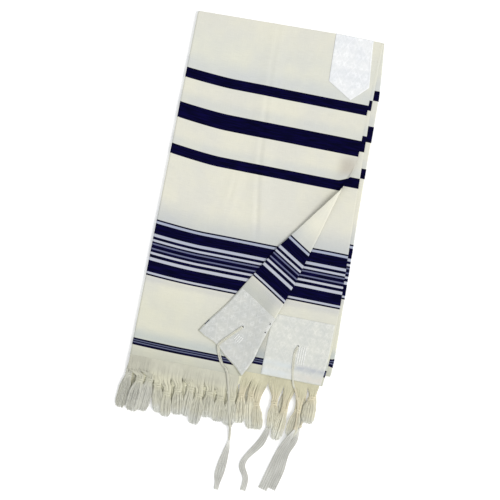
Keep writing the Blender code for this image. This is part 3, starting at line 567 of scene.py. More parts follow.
def twisted_yarn(name, zones, pitch, roughness):
    """Plied yarn: its UV map has the way round it and the length along it.

    Each zone is a length along the yarn, in millimetres, and the yarn's colour from there on.
    """
    paint = Paint(name)
    around, length = paint.flat_cloth()
    ply = paint.math("SINE", (around * 2 + length / pitch) * (2 * math.pi))
    place = paint.node("TexCoord", out="Object")
    fuzz = paint.noise(place, 900, 3, 0.7)
    colour = zones[0][1]
    for start, tint in zones[1:]:
        colour = paint.blend(paint.remap(length, start - 12, start + 12), colour, tint)
    # the colour is painted darker in the grooves between the plies, a painted shade; noise and fuzz vary
    # its tone at random
    depth = ply * 0.05 + paint.remap(paint.noise(place, 38), 0.3, 0.7, 0.88, 0.98) + fuzz * 0.12
    paint.bump(fuzz * 0.8 + ply, 0.5, 0.0003)
    paint.set(
        Base_Color=paint.shade(colour, depth),
        Roughness=paint.remap(fuzz, 0.3, 0.7, roughness - 0.08, roughness + 0.05),
        Specular_IOR_Level=0.2,
        Sheen_Weight=0.1,
    )
    return paint.material


def pale_floor():
    paint = Paint("pale_floor")
    grain = paint.noise(paint.node("TexCoord", out="Object"), 3)
    paint.set(
        Base_Color=paint.blend(grain, (246, 247, 248), (250, 250, 250)),
        Roughness=0.8,
        Specular_IOR_Level=0.1,
        Emission_Color=(255, 255, 255),
        Emission_Strength=FLOOR_GLOW,
    )
    return paint.material


# ---------------------------------------------------------------- building pieces
def add_piece(name, points, faces, material, flats=None):
    """A smooth piece. Each point's place on the flat cloth goes into the materials' UV map."""
    mesh = bpy.data.meshes.new(name)
    mesh.from_pydata(points, [], faces)
    mesh.materials.append(material)
    mesh.polygons.foreach_set("use_smooth", [True] * len(faces))
    if flats is not None:
        layer = mesh.uv_layers.new(name="Cloth")
        corners = np.empty(len(mesh.loops), dtype=np.int32)
        mesh.loops.foreach_get("vertex_index", corners)
        places = np.array(flats, dtype=np.float32) * MM
        layer.uv.foreach_set("vector", places[corners].ravel())
    piece = bpy.data.objects.new(name, mesh)
    bpy.context.scene.collection.objects.link(piece)
    return piece


def shell(name, rows, thickness, material):
    """A thin cloth from a grid of garment points, each with its place on the flat cloth."""
    rows = list(rows)
    width = len(rows[0])
    faces = []
    for upper in range(len(rows) - 1):
        for column in range(width - 1):
            first = upper * width + column
            below = first + width
            faces.append((first, below, first + 1))
            faces.append((first + 1, below, below + 1))
    points, flats = zip(*[pair for row in rows for pair in row])
    piece = add_piece(name, [to_space(*point) for point in points], faces, material, flats)
    wall = piece.modifiers.new("Wall", "SOLIDIFY")
    wall.thickness = thickness * MM
    wall.offset = 0
    piece.modifiers.new("Shading", "WEIGHTED_NORMAL")
    return piece


class Strands:
    """Many yarns in one mesh: each is a tube round its route, closed at its ends."""

    def __init__(self, sides):
        self.sides = sides
        self.points = []
        self.faces = []
        self.flats = []
        self.count = 0
        turns = np.arange(sides) / sides * 2 * math.pi
        self.cosines = np.cos(turns)[None, :, None]
        self.sines = np.sin(turns)[None, :, None]

    def rings(self, centre, radius, flatten):
        """Points round each point of a route, in metres."""
        radii = np.broadcast_to(np.asarray(radius, dtype=float) * MM, (len(centre),))[:, None, None]
        heights = np.broadcast_to(np.asarray(flatten, dtype=float), (len(centre),))[:, None, None]
        tangent = np.gradient(centre, axis=0)
        tangent /= np.linalg.norm(tangent, axis=1)[:, None] + 1e-12
        side = np.cross(tangent, np.array([0.0, 0.0, 1.0]))
        lengths = np.linalg.norm(side, axis=1)[:, None]
        side = np.where(lengths > 0.05, side / (lengths + 1e-12), np.array([1.0, 0.0, 0.0]))
        up = np.cross(side, tangent)
        turned_side = self.cosines * side[:, None, :]
        return centre[:, None, :] + radii * (turned_side + self.sines * heights * up[:, None, :])

    def add(self, route, radius, flatten=1.0, start=0.0):
        """One yarn: a route in garment points, a radius and a share of its height, or one for each."""
        centre = np.array([to_space(*point) for point in route])
        self.points.append(self.rings(centre, radius, flatten).reshape(-1, 3))
        steps = np.linalg.norm(np.diff(centre, axis=0), axis=1)
        length = np.concatenate([[0.0], np.cumsum(steps)]) / MM + start
        around = np.abs(np.arange(self.sides) / self.sides * 2 - 1)
        flats = np.stack(np.broadcast_arrays(around[None, :], length[:, None]), axis=2)
        self.flats.append(flats.reshape(-1, 2))
        last = self.count + (len(centre) - 1) * self.sides
        for base in range(self.count, last, self.sides):
            above = base + self.sides
            for corner in range(self.sides):
                after = (corner + 1) % self.sides
                self.faces.append((base + corner, base + after, above + after, above + corner))
        self.faces.append(tuple(range(self.count + self.sides - 1, self.count - 1, -1)))
        self.faces.append(tuple(range(last, last + self.sides)))
        self.count = last + self.sides

    def piece(self, name, material):
        points = np.concatenate(self.points)
        points[:, 2] = np.maximum(points[:, 2], 0.05 * MM)
        return add_piece(name, points.tolist(), self.faces, material, np.concatenate(self.flats))


# ---------------------------------------------------------------- the upper panel's form
def ridges(creases, across, along):
    """Height of the highest of these creases at a point."""
    height = 0
    for crease in creases:
        run_across = crease.across_end - crease.across_start
        run_along = crease.along_end - crease.along_start
        from_across = across - crease.across_start
        from_along = along - crease.along_start
        share = (from_across * run_across + from_along * run_along) / (run_across**2 + run_along**2)
        held = min(max(share, 0), 1)
        distance = math.hypot(from_across - run_across * held, from_along - run_along * held)
        if distance < crease.width:
            taper = math.sin(math.pi * min(max(share, 0.04), 0.96))
            profile = math.cos(distance / crease.width * math.pi / 2) ** 2
            height = max(height, crease.height * taper * profile)
    return height


def groove_depth(across, along):
    """Depth of the deepest pressed fold at a point."""
    depth = 0
    for groove in GROOVES:
        distance = abs(across - float(np.interp(along, groove.along, groove.across)))
        if distance < groove.width:
            profile = math.cos(distance / groove.width * math.pi / 2) ** 2
            depth = max(depth, float(np.interp(along, groove.along, groove.depth)) * profile)
    return depth


def edge_swell(across, along):
    """The panel swells under the turned corner's free edge, most of all at the fold's apex."""
    turn = 2 * FOLD_ANGLE
    run = (along - APEX_ALONG) * math.cos(turn) - (across - PANEL_WIDTH) * math.sin(turn)
    aside = (across - PANEL_WIDTH) * math.cos(turn) + (along - APEX_ALONG) * math.sin(turn)
    fade = rise(run, -40, 60) * (1 - 0.7 * rise(run, 50, 200)) * (1 - rise(run, 420, 80))
    return SWELL * hill(aside, SWELL_ASIDE, SWELL_WIDTH) * fade


def panel_mid(across, along):
    """Height of the middle of the upper panel's cloth, over the second panel and its patch."""
    over_patch = rise(across, *OVER_PATCH_ACROSS) * rise(along, *OVER_PATCH_ALONG)
    height = UPPER_MID + ridges(CREASES, across, along) + OVER_PATCH_LIFT * over_patch
    height += ridges(FINE_CREASES, across, along) - groove_depth(across, along)
    height += edge_swell(across, along)
    return height + 0.16 * ripple(across, along, 70) + 0.06 * ripple(across + 300, along, 22)


def fold_run(across, along):
    """How far a point of the flat cloth lies down the fold line of the turned corner."""
    return (along - APEX_ALONG) * FOLD_ACROSS - (across - PANEL_WIDTH) * FOLD_ALONG


def fold_distance(across, along):
    """Distance of a point of the flat cloth past that fold line."""
    return (across - PANEL_WIDTH) * FOLD_ACROSS + (along - APEX_ALONG) * FOLD_ALONG


def fold_across(along):
    """Where that fold line crosses a row of the flat cloth."""
    return PANEL_WIDTH - (along - APEX_ALONG) * math.tan(FOLD_ANGLE)


def turned(across, along):
    """Where a point of the flat cloth comes to lie: its plan place and its lift."""
    run = fold_run(across, along)
    slack = APEX_SLACK * rise(run, -20, 40) * (1 - rise(run, 45, 30))
    distance = fold_distance(across, along)
    laid = distance - slack
    if laid > 0:
        laid *= float(np.interp(run, ROLL_RUN, ROLL_SHARE))
    radius = mix(APEX_RADIUS, TURN_RADIUS, rise(run, 20, 200))
    half_turn = math.pi * radius / 2
    if laid <= -half_turn:
        return across, along, 0
    if laid < half_turn:
        angle = (laid + half_turn) / radius
        moved = radius * math.sin(angle) - half_turn
        lift = radius * (1 - math.cos(angle))
    else:
        moved = -laid
        lift = mix(2 * radius, RESTING_LIFT, rise(laid, half_turn, SETTLE_WIDTH))
    shift = moved + slack - distance
    lift *= rise(run, 5, 65)
    return across + shift * FOLD_ACROSS, along + shift * FOLD_ALONG, lift


def drawn_in(across, along):
    """The fold of the turned corner is drawn in towards the left, most of all at its tip."""
    edge = rise(along, *EDGE_PULL_ALONG) * rise(across, 245, 60)
    tip = rise(along, *TIP_PULL_ALONG) * rise(across, 200, 70)
    return across - EDGE_PULL * edge - TIP_PULL * tip


def pinched(across, along, cloth_along):
    """The turned corner's end is pinched where the tzitzit goes over it."""
    near_end = rise(cloth_along, HALF_LENGTH - PINCH_DEPTH, PINCH_DEPTH)
    near_tie = math.cos(min(abs(across - PINCH_ACROSS) / PINCH_WIDTH, 1) * math.pi / 2) ** 2
    return along - PINCH * near_end * near_tie


def cloth_point(across, along):
    """Middle of the upper panel's cloth, for a point of its flat cloth."""
    placed_across, placed_along, lift = turned(across, along)
    placed_across = drawn_in(placed_across, placed_along)
    run = fold_run(across, along)
    near_edge = rise(across, PANEL_WIDTH - FREE_EDGE_WIDTH, FREE_EDGE_WIDTH)
    lift += FREE_EDGE_CURL * near_edge * rise(run, 60, 50) * (1 - rise(run, 90, 310))
    if fold_distance(across, along) > HALF_TURN:
        placed_along = pinched(placed_across, placed_along, along)
        pull = rise(across, 330, 95) * rise(along, 690, 110)
        placed_across -= CORNER_PULL_ACROSS * pull
        placed_along -= CORNER_PULL_ALONG * pull
    return placed_across, placed_along, panel_mid(placed_across, placed_along) + lift


def risen(across, along):
    """Near the mid-length fold the cloth follows that fold's slight rise."""
    fade = max(1 - max(along, 0) / TOP_RISE_FADE, 0) ** 2
    return along - TOP_RISE * min(across / TOP_RISE_SPAN, 1) * fade


def edge_section(step, radius, outset=0):
    """Set-back from the outer face and drop, from the flat (0) to the end of the roll."""
    if step == 0:
        return EDGE_ZONE, 0
    angle = FOLD_SWEEP * (step - 1) / FOLD_CELLS
    reach = radius + outset
    return WALL / 2 + radius - reach * math.sin(angle), radius - reach * math.cos(angle) + outset


def edge_flat(step, radius):
    """The flat cloth's distance from the fold for a step of the roll: below 0 past its middle."""
    return WALL / 2 + radius - radius * FOLD_SWEEP * (step - 1) / FOLD_CELLS


def rolled_point(left_step, top_step, across, along):
    """A point of the upper panel in its rolled left or top edge, or in their round corner."""
    if top_step == 0:
        inset, drop = edge_section(left_step, LEFT_FOLD_RADIUS)
        return inset, risen(inset, along), panel_mid(inset, along) - drop
    if left_step == 0:
        inset, drop = edge_section(top_step, TOP_FOLD_RADIUS)
        return across, risen(across, inset), panel_mid(across, inset) - drop
    turn = top_step / left_step / 2 if left_step >= top_step else 1 - left_step / top_step / 2
    inset, drop = edge_section(max(left_step, top_step), mix(LEFT_FOLD_RADIUS, TOP_FOLD_RADIUS, turn))
    around = turn * math.pi / 2
    corner_across = EDGE_ZONE - (EDGE_ZONE - inset) * math.cos(around)
    corner_along = EDGE_ZONE - (EDGE_ZONE - inset) * math.sin(around)
    return corner_across, risen(corner_across, corner_along), UPPER_MID - drop


def bowed(across, along):
    """Along of the flat cloth as woven: the stripes bow up towards the left fold."""
    depth = float(np.interp(along, BOW_ALONG, BOW_DEPTH))
    share = 1 - min(max(across, 0) / BOW_WIDTH, 1)
    at_apex = rise(across, 386, 28) * hill(along, 312, 13)
    return along + depth * share**1.4 + 8 * at_apex + 0.5 * ripple(across, along, 90)


def across_columns(along):
    """Columns of one row: plain cloth, the turn of the corner, then the turned cloth."""
    past_apex = (along - APEX_ALONG) * math.tan(FOLD_ANGLE)
    turn_width = TURN_CELLS * TURN_CELL
    turned_width = max(past_apex - turn_width / 2, TURNED_CELLS * TURN_CELL / 2)
    turn_end = PANEL_WIDTH - turned_width
    turn_start = turn_end - turn_width
    columns = [mix(EDGE_ZONE, turn_start, step / PLAIN_CELLS) for step in range(PLAIN_CELLS)]
    columns += [mix(turn_start, turn_end, step / TURN_CELLS) for step in range(TURN_CELLS)]
    return columns + [mix(turn_end, PANEL_WIDTH, step / TURNED_CELLS) for step in range(TURNED_CELLS + 1)]


def upper_rows():
    """The upper panel: its rolled top edge, and then its rows, each with the rolled left edge."""
    rolls = [(step, edge_flat(step, LEFT_FOLD_RADIUS)) for step in range(FOLD_CELLS + 1, 0, -1)]
    for top, _ in rolls:
        flat_along = edge_flat(top, TOP_FOLD_RADIUS)
        row = [(rolled_point(left, top, 0, 0), (flat, flat_along)) for left, flat in rolls]
        for across in across_columns(EDGE_ZONE):
            row.append((rolled_point(0, top, across, 0), (across, flat_along)))
        yield row
    count = round((HALF_LENGTH - EDGE_ZONE) / ROW_STEP)
    for step in range(count + 1):
        along = mix(EDGE_ZONE, HALF_LENGTH, step / count)
        row = [(rolled_point(left, 0, 0, along), (flat, bowed(0, along))) for left, flat in rolls]
        for across in across_columns(along):
            placed_across, placed_along, height = cloth_point(across, along)
            point = (placed_across, risen(placed_across, placed_along), height)
            row.append((point, (across, bowed(across, along))))
        yield row


# ---------------------------------------------------------------- the layers below
EdgePoint = namedtuple("EdgePoint", "along across")
SECOND_RIGHT_EDGE = [EdgePoint(*row) for row in [
    (-8, 431), (149, 432), (331, 438.6), (480, 445.5), (617, 451), (730, 451), (785, 445),
]]
CORE_RIGHT_EDGE = [EdgePoint(*row) for row in [
    (-6, 433.5), (60, 441.5), (122, 446), (306, 448.8), (500, 455), (740, 462.5), (763, 459),
]]
# The hidden layers' stripes: along as they lie, and along of the flat cloth there.
CORE_WOVEN = [-20, 700, 718, 745, CORE_END]
CORE_FLAT = [17, 737, 760.7, 781.9, HALF_LENGTH]
# The hidden layers' rim: at each height, how far each side is set back.
CoreLevel = namedtuple("CoreLevel", "height left top right bottom")
CORE_LEVELS = [CoreLevel(*row) for row in [
    (0, 1, 0.9, 2.4, 3.2), (0.4, 0.8, 0.3, 1.5, 3), (1.5, 0.8, 0, 0.5, 3),
    (1.65, 3.4, 0, 0.4, 6), (1.8, 1.6, 0, 0.3, 1.2), (2.9, 1.6, 0.3, 0.1, 1.2),
    (3.3, 1.6, 0.9, 0, 1.2), (3.45, 5.4, 3.2, 0, 5), (3.6, 5.2, 0.9, 0, 0),
    (4, 5.2, 0.3, 0.1, 0), (5.1, 5.2, 0, 0.3, 0), (5.25, 5.6, 0, 0.4, 4),
    (5.4, 5.2, 0, 0.5, 0.8), (6.5, 5.2, 0.3, 1.5, 0.8), (CORE_TOP, 5.2, 0.9, 2.4, 0.8),
]]


def soft_edge(edge, along):
    """An edge table's across value, averaged over a short stretch, with a slight waviness."""
    alongs, acrosses = zip(*edge)
    places = [float(np.interp(along + step, alongs, acrosses)) for step in (-24, -12, 0, 12, 24)]
    return sum(places) / len(places) + 0.35 * ripple(0, along, 34)


def second_height(across, along):
    """Height of the second panel: a soft valley and a rolled hem at its patch."""
    on_patch = rise(across, 296, 12)
    drawn = 5 * hill(across, 377, 11) - 3 * rise(across, 390, 45)
    strength = mix(0.45, 1, rise(across, 365, 20))
    valley = hill(along + drawn, *PATCH_VALLEY)
    hem = hill(along + drawn, *PATCH_HEM)
    near_end = rise(along, 700, 40)
    pucker = 0.45 * ripple(across, along, 16) * near_end
    relief = 0.7 * near_end + strength * (1.2 * hem - 0.9 * valley) + pucker
    return SECOND_MID + 0.12 * ripple(across + 80, along, 60) + on_patch * relief


def second_rows():
    """The second panel, with wide cells where the upper panel covers it."""
    shares = [step / 12 * COVERED_SHARE for step in range(12)]
    shares += [mix(COVERED_SHARE, 1, step / 58) for step in range(59)]
    count = round(SECOND_END / CELL)
    for step in range(count + 1):
        down = step / count
        right = soft_edge(SECOND_RIGHT_EDGE, mix(SECOND_TOP - TOP_RISE, SECOND_END, down))
        row = []
        for share in shares:
            across = mix(SECOND_LEFT, right, share)
            along = mix(risen(across, 0) + SECOND_TOP, SECOND_END, down)
            flat = (-across, along + SECOND_SHIFT + 0.5 * ripple(across, along, 80))
            row.append(((across, along, second_height(across, along)), flat))
        yield row


def core_outline(level):
    """The hidden layers' outline at one height, clockwise from the top left."""
    points = []
    wave = level.height * 0.9
    right_start = CORE_RIGHT_EDGE[0].across - level.right
    for step in range(61):
        across = mix(level.left, right_start, step / 60)
        points.append((across, risen(across, 0) + GAP + level.top))
    for step in range(1, 200):
        along = mix(CORE_RIGHT_EDGE[0].along, CORE_END - 3, step / 200)
        sway = 0.25 * ripple(wave, along, 45)
        points.append((soft_edge(CORE_RIGHT_EDGE, along) - level.right + sway, along))
    right_end = CORE_RIGHT_EDGE[-1].across - level.right
    for step in range(61):
        across = mix(right_end, level.left, step / 60)
        sway = 0.3 * abs(ripple(across, wave, 40))
        points.append((across, CORE_END - level.bottom - sway))
    for step in range(79, 0, -1):
        points.append((level.left, CORE_END * step / 80))
    return points


def make_folded_core(material):
    """The four hidden layers: one closed form with each layer's edge shown."""
    levels = [CoreLevel(*row) for row in smooth_route(CORE_LEVELS, 2)]
    points = []
    flats = []
    for level in levels:
        outline = core_outline(level)
        points += [to_space(across, along, level.height) for across, along in outline]
        flats += [(-across, float(np.interp(along, CORE_WOVEN, CORE_FLAT))) for across, along in outline]
    size = len(outline)
    top = (len(levels) - 1) * size
    faces = []
    for base in range(0, top, size):
        for index in range(size):
            after = (index + 1) % size
            faces.append((base + after, base + index, base + size + index, base + size + after))
    faces.append(tuple(range(size)))
    faces.append(tuple(range(top + size - 1, top - 1, -1)))
    piece = add_piece("shawl_hidden", points, faces, material, flats)
    for end in (-1, -2):
        piece.data.polygons[end].use_smooth = False
    return piece


# ---------------------------------------------------------------- the satin patches
def patch_relief(from_edge, run):
    """Outset of a patch: down at its edge, raised over its folded hem, drawn in at the stitches."""
    lip = -0.3 * (1 - smooth(from_edge / 1.6))
    hem = 0.22 * (1 - rise(from_edge, 4.4, 1.4))
    pucker = 0.14 + 0.06 * math.sin(2 * math.pi * run / STITCH_PITCH)
    return PATCH_OUTSET + lip + hem - pucker * hill(from_edge, STITCH_INSET, 0.9)


def neck_place(share, down):
    """Across and along of a point of the neck patch: 0 to 1 across it, and 0 to 1 down it."""
    tip = (NECK_TIP - NECK_LEFT) / (NECK_RIGHT - NECK_LEFT)
    point = share / tip if share < tip else (1 - share) / (1 - tip)
    along = mix(EDGE_ZONE, mix(NECK_SHOULDER + 2 * (1 - share), NECK_POINT, point), down)
    lean = along / NECK_SHOULDER
    return mix(NECK_LEFT + NECK_SLANT * lean, NECK_RIGHT - 12.5 + 11 * lean, share), along


def neck_rows():
    """The neck patch: over the mid-length fold, and then down to its point."""
    shares = [column / 64 for column in range(65)]
    for step in range(FOLD_CELLS, 0, -1):
        inset, drop = edge_section(step, TOP_FOLD_RADIUS, PATCH_OUTSET)
        row = []
        for share in shares:
            across = neck_place(share, 0)[0]
            point = (across, risen(across, inset), panel_mid(across, EDGE_ZONE) - drop + PATCH_OUTSET)
            row.append((point, (across, edge_flat(step, TOP_FOLD_RADIUS))))
        yield row
    for step in range(1, 79):
        row = []
        for share in shares:
            across, along = neck_place(share, step / 78)
            from_side = min(share, 1 - share) * (NECK_RIGHT - neck_place(0, 1)[0])
            from_end = (neck_place(share, 1)[1] - along) * 0.82
            relief = patch_relief(min(from_side, from_end), along if from_side < from_end else across)
            point = (across, risen(across, along), panel_mid(across, along) + relief)
            row.append((point, (across, along)))
        yield row


def over_turned(across, along, outset):
    """A point out from the cloth's reverse side, for a point of the turned corner's flat cloth."""
    step = 0.5
    centre = Vector(cloth_point(across, along))
    run_across = Vector(cloth_point(across - step, along)) - centre
    run_along = Vector(cloth_point(across, along - step)) - centre
    return tuple(centre + run_along.cross(run_across).normalized() * outset)


def turned_patch_rows():
    """The corner patch on the turned corner's reverse, from the panel's own points, moved out."""
    start = HALF_LENGTH - PATCH_SIDE
    end = HALF_LENGTH - PATCH_INSET
    outer = PANEL_WIDTH - PATCH_INSET
    for step in range(67):
        along = mix(start, end, step / 66)
        row = []
        for column in range(73):
            across = mix(fold_across(along) - 1, outer, column / 72)
            from_edge = min(outer - across, end - along, along - start)
            run = along if from_edge == outer - across else across
            row.append((over_turned(across, along, patch_relief(from_edge, run)), (across, along)))
        yield row


def second_patch_rows():
    """The corner patch on the second panel, which the turned corner lays bare."""
    left = SECOND_RIGHT_EDGE[-1].across - PATCH_SIDE
    start = SECOND_END - PATCH_SIDE
    end = SECOND_END - PATCH_INSET
    for step in range(67):
        along = mix(start, end, step / 66)
        right = soft_edge(SECOND_RIGHT_EDGE, along) - SECOND_PATCH_INSET
        row = []
        for column in range(68):
            across = mix(left, right, column / 67)
            from_edge = min(across - left, right - across, along - start, end - along)
            run = across if from_edge in (along - start, end - along) else along
            height = second_height(across, along) + patch_relief(from_edge, run)
            row.append(((across, along, height), (across, along + SECOND_SHIFT)))
        yield row


# ---------------------------------------------------------------- fringe
def hidden_knot(row, index, count, cover):
    """A tassel that others cover: it lies under the gap between two tassels of the upper row."""
    if 0 < index < len(UPPER_KNOTS):
        before, after = UPPER_KNOTS[index - 1:index + 1]
        across = (before.across + after.across) / 2
        tip_across = (before.tip_across + after.tip_across) / 2
    else:
        across = row.left + (index + 0.5) * (row.right - row.left) / count
        tip_across = across + 2 * math.sin(1.3 * index)
    along = cover.along + 4 * math.sin(1.7 * index + 1)
    tip_along = cover.tip_along + 4 * math.sin(2.3 * index)
    return cover._replace(across=across, along=along, tip_across=tip_across, tip_along=tip_along)


def drawn_root(row, across):
    """Where a yarn starts: the lower rows' yarns are drawn a little to the left at one place."""
    return across if row is UPPER_ROW else across - DRAWN_BY * hill(across, DRAWN_AT, DRAWN_WIDTH)


def ply_hump(lane):
    """0 to 1: a tassel's yarns lie in as many soft humps as it has plies."""
    return abs(math.sin(math.pi * PLIES * (lane + 1) / 2))


def gathered_yarn(place, root_across, row, knot, gather, rng):
    """A yarn from the cloth's end, first beside its neighbours and then in to the knot."""
    level = rng.uniform(-0.5, 0.5)
    ply = 1.3 * ply_hump(place) - 0.6
    start = row.along - YARN_TUCK
    knot_across = knot.across + place * row.tight
    route = []
    for step in range(YARN_POINTS):
        share = step / (YARN_POINTS - 1)
        narrowing = smooth((share - gather + 0.06 * level) / (GATHERED_SHARE - gather))
        bulge = math.sin(math.pi * share) ** 2 * (1 - 0.6 * place * place)
        swell = bulge * (0.9 + 0.5 * level) + 1.4 * narrowing * level + ply * rise(share, 0.3, 0.5)
        sway = 0.2 * math.sin(9 * share + 7 * place)
        height = mix(row.mid + 0.1 * level, row.knot_height, smooth(share)) + swell * smooth(share * 3)
        route.append((
            mix(root_across, knot_across, narrowing) + sway, start + (knot.along - start) * share, height,
        ))
    return route


def frayed_yarn(knot, row, lane, rng):
    """A yarn of the tuft below the knot: it fans out, curls a little and ends in a round brush."""
    lane = min(max(lane + rng.uniform(-0.06, 0.06), -1), 1)
    layer = rng.uniform(-1, 1) * math.sqrt(1 - 0.8 * lane * lane)
    reach = 1 - 0.16 * abs(lane) ** 5 - rng.uniform(0, 0.06)
    phase = rng.uniform(0, 2 * math.pi)
    curl = rng.uniform(0.2, 0.6)
    fall = Vector((knot.tip_across - knot.across, knot.tip_along - knot.along))
    route = []
    for step in range(YARN_POINTS):
        share = step / (YARN_POINTS - 1) * reach
        fan = rise(share, -0.06, 0.5) * (1 - 0.14 * rise(share, 0.8, 0.2))
        wave = phase + share * fall.length / 2.6
        sideways = lane * mix(row.tight * 0.8, knot.tip_half_width + 0.6, fan)
        sideways += curl * math.sin(wave) * smooth(share * 4)
        thick = mix(1.2, 2, math.sin(math.pi * min(share + 0.1, 1)))
        height = mix(row.knot_height, knot.tip_height, smooth(share)) + thick * layer
        height += 0.9 * ply_hump(lane) + 0.2 * curl * math.cos(wave)
        route.append((
            knot.across + fall.x * share + sideways * fall.y / fall.length,
            knot.along + fall.y * share - sideways * fall.x / fall.length,
            max(height, FRAY + 0.1),
        ))
    return route


def knot_turns(strands, centre, direction, half_width, half_height, radius, start):
    """A knot: yarn wound four times round the bundle, with one turn that leans over the others."""
    side = (direction[1], -direction[0])
    for turn in range(4):
        place = turn - 1.5
        bulge = 1 - 0.125 * abs(place)
        lean = 1.6 if turn == 2 else 0.6
        route = []
        for step in range(15):
            angle = 2 * math.pi * step / 13 - 1.2
            offset = math.cos(angle) * half_width * bulge
            shift = (place * 1.6 + lean * math.sin(angle + 0.6)) * radius
            route.append((
                centre[0] + side[0] * offset + direction[0] * shift,
                centre[1] + side[1] * offset + direction[1] * shift,
                centre[2] + math.sin(angle) * half_height * bulge,
            ))
        strands.add(route, radius, start=start)


def add_tassel(strands, row, knot, covered, left, width, frayed, rng):
    """One tassel: gathered yarns, a tuft and the knot. A covered one has fewer and thicker yarns."""
    yarns = COVERED_YARNS if covered else YARNS_IN_TASSEL
    brush = frayed * 2 // 3 if covered else frayed
    gather = 0.6 if covered else row.gather
    thick = FRINGE_YARN * math.sqrt(YARNS_IN_TASSEL / yarns) * np.linspace(1.35, 1, YARN_POINTS)
    flatten = np.linspace(0.34, 0.9, YARN_POINTS)
    start = COVERED if covered else 0 if knot.across > GREYER_ACROSS else GREYER
    for yarn in range(yarns):
        share = (yarn + 0.5) / yarns
        root = drawn_root(row, left + width * share)
        route = gathered_yarn(2 * share - 1, root, row, knot, gather, rng)
        strands.add(route, thick * rng.uniform(0.94, 1.06), flatten, start)
    for yarn in range(brush):
        lane = 2 * (yarn + 0.5) / brush - 1
        radius = FRAY * (1.2 if covered else 1) * rng.uniform(0.85, 1.15)
        radii = [radius] * (YARN_POINTS - 2) + [radius * 0.8, radius * 0.4]
        strands.add(frayed_yarn(knot, row, lane, rng), radii, 0.8, start + TUFT_LENGTH_ON)
    fall = Vector((knot.tip_across - knot.across, knot.tip_along - knot.along)).normalized()
    centre = (knot.across, knot.along, row.knot_height)
    knot_turns(strands, centre, (fall.x * 0.5, fall.y), row.tight + 0.6, 2.8, 1.25, start + KNOT_LENGTH_ON)


def make_fringe(name, row, tassels, frayed, material, seed):
    """A row of tassels, each a knot and whether it is covered, or None where one is left out."""
    rng = random.Random(seed)
    strands = Strands(4)
    width = (row.right - row.left) / len(tassels)
    for index, tassel in enumerate(tassels):
        if tassel:
            add_tassel(strands, row, *tassel, row.left + index * width, width, frayed, rng)
    return strands.piece(name, material)


def tassel_row(row, count, shown, cover, left_out=()):
    """The tassels of a lower row: those of its table, and covered ones between them."""
    tassels = []
    for index in range(count):
        if index in shown:
            tassels.append((shown[index], False))
        elif index in left_out:
            tassels.append(None)
        else:
            tassels.append((hidden_knot(row, index, count, cover), True))
    return tassels


def make_fringes(material, lower_material):
    upper = [(knot, False) for knot in UPPER_KNOTS]
    second = tassel_row(SECOND_ROW, SECOND_TASSELS, SECOND_KNOTS, SECOND_HIDDEN)
    core = tassel_row(CORE_ROW, CORE_TASSELS, CORE_KNOTS, CORE_HIDDEN, CORE_LEFT_OUT)
    return (
        make_fringe("fringe_yarns_upper", UPPER_ROW, upper, 60, material, 11),
        make_fringe("fringe_yarns_second", SECOND_ROW, second, 54, lower_material, 12),
        make_fringe("fringe_yarns_hidden", CORE_ROW, core, 36, lower_material, 13),
    )


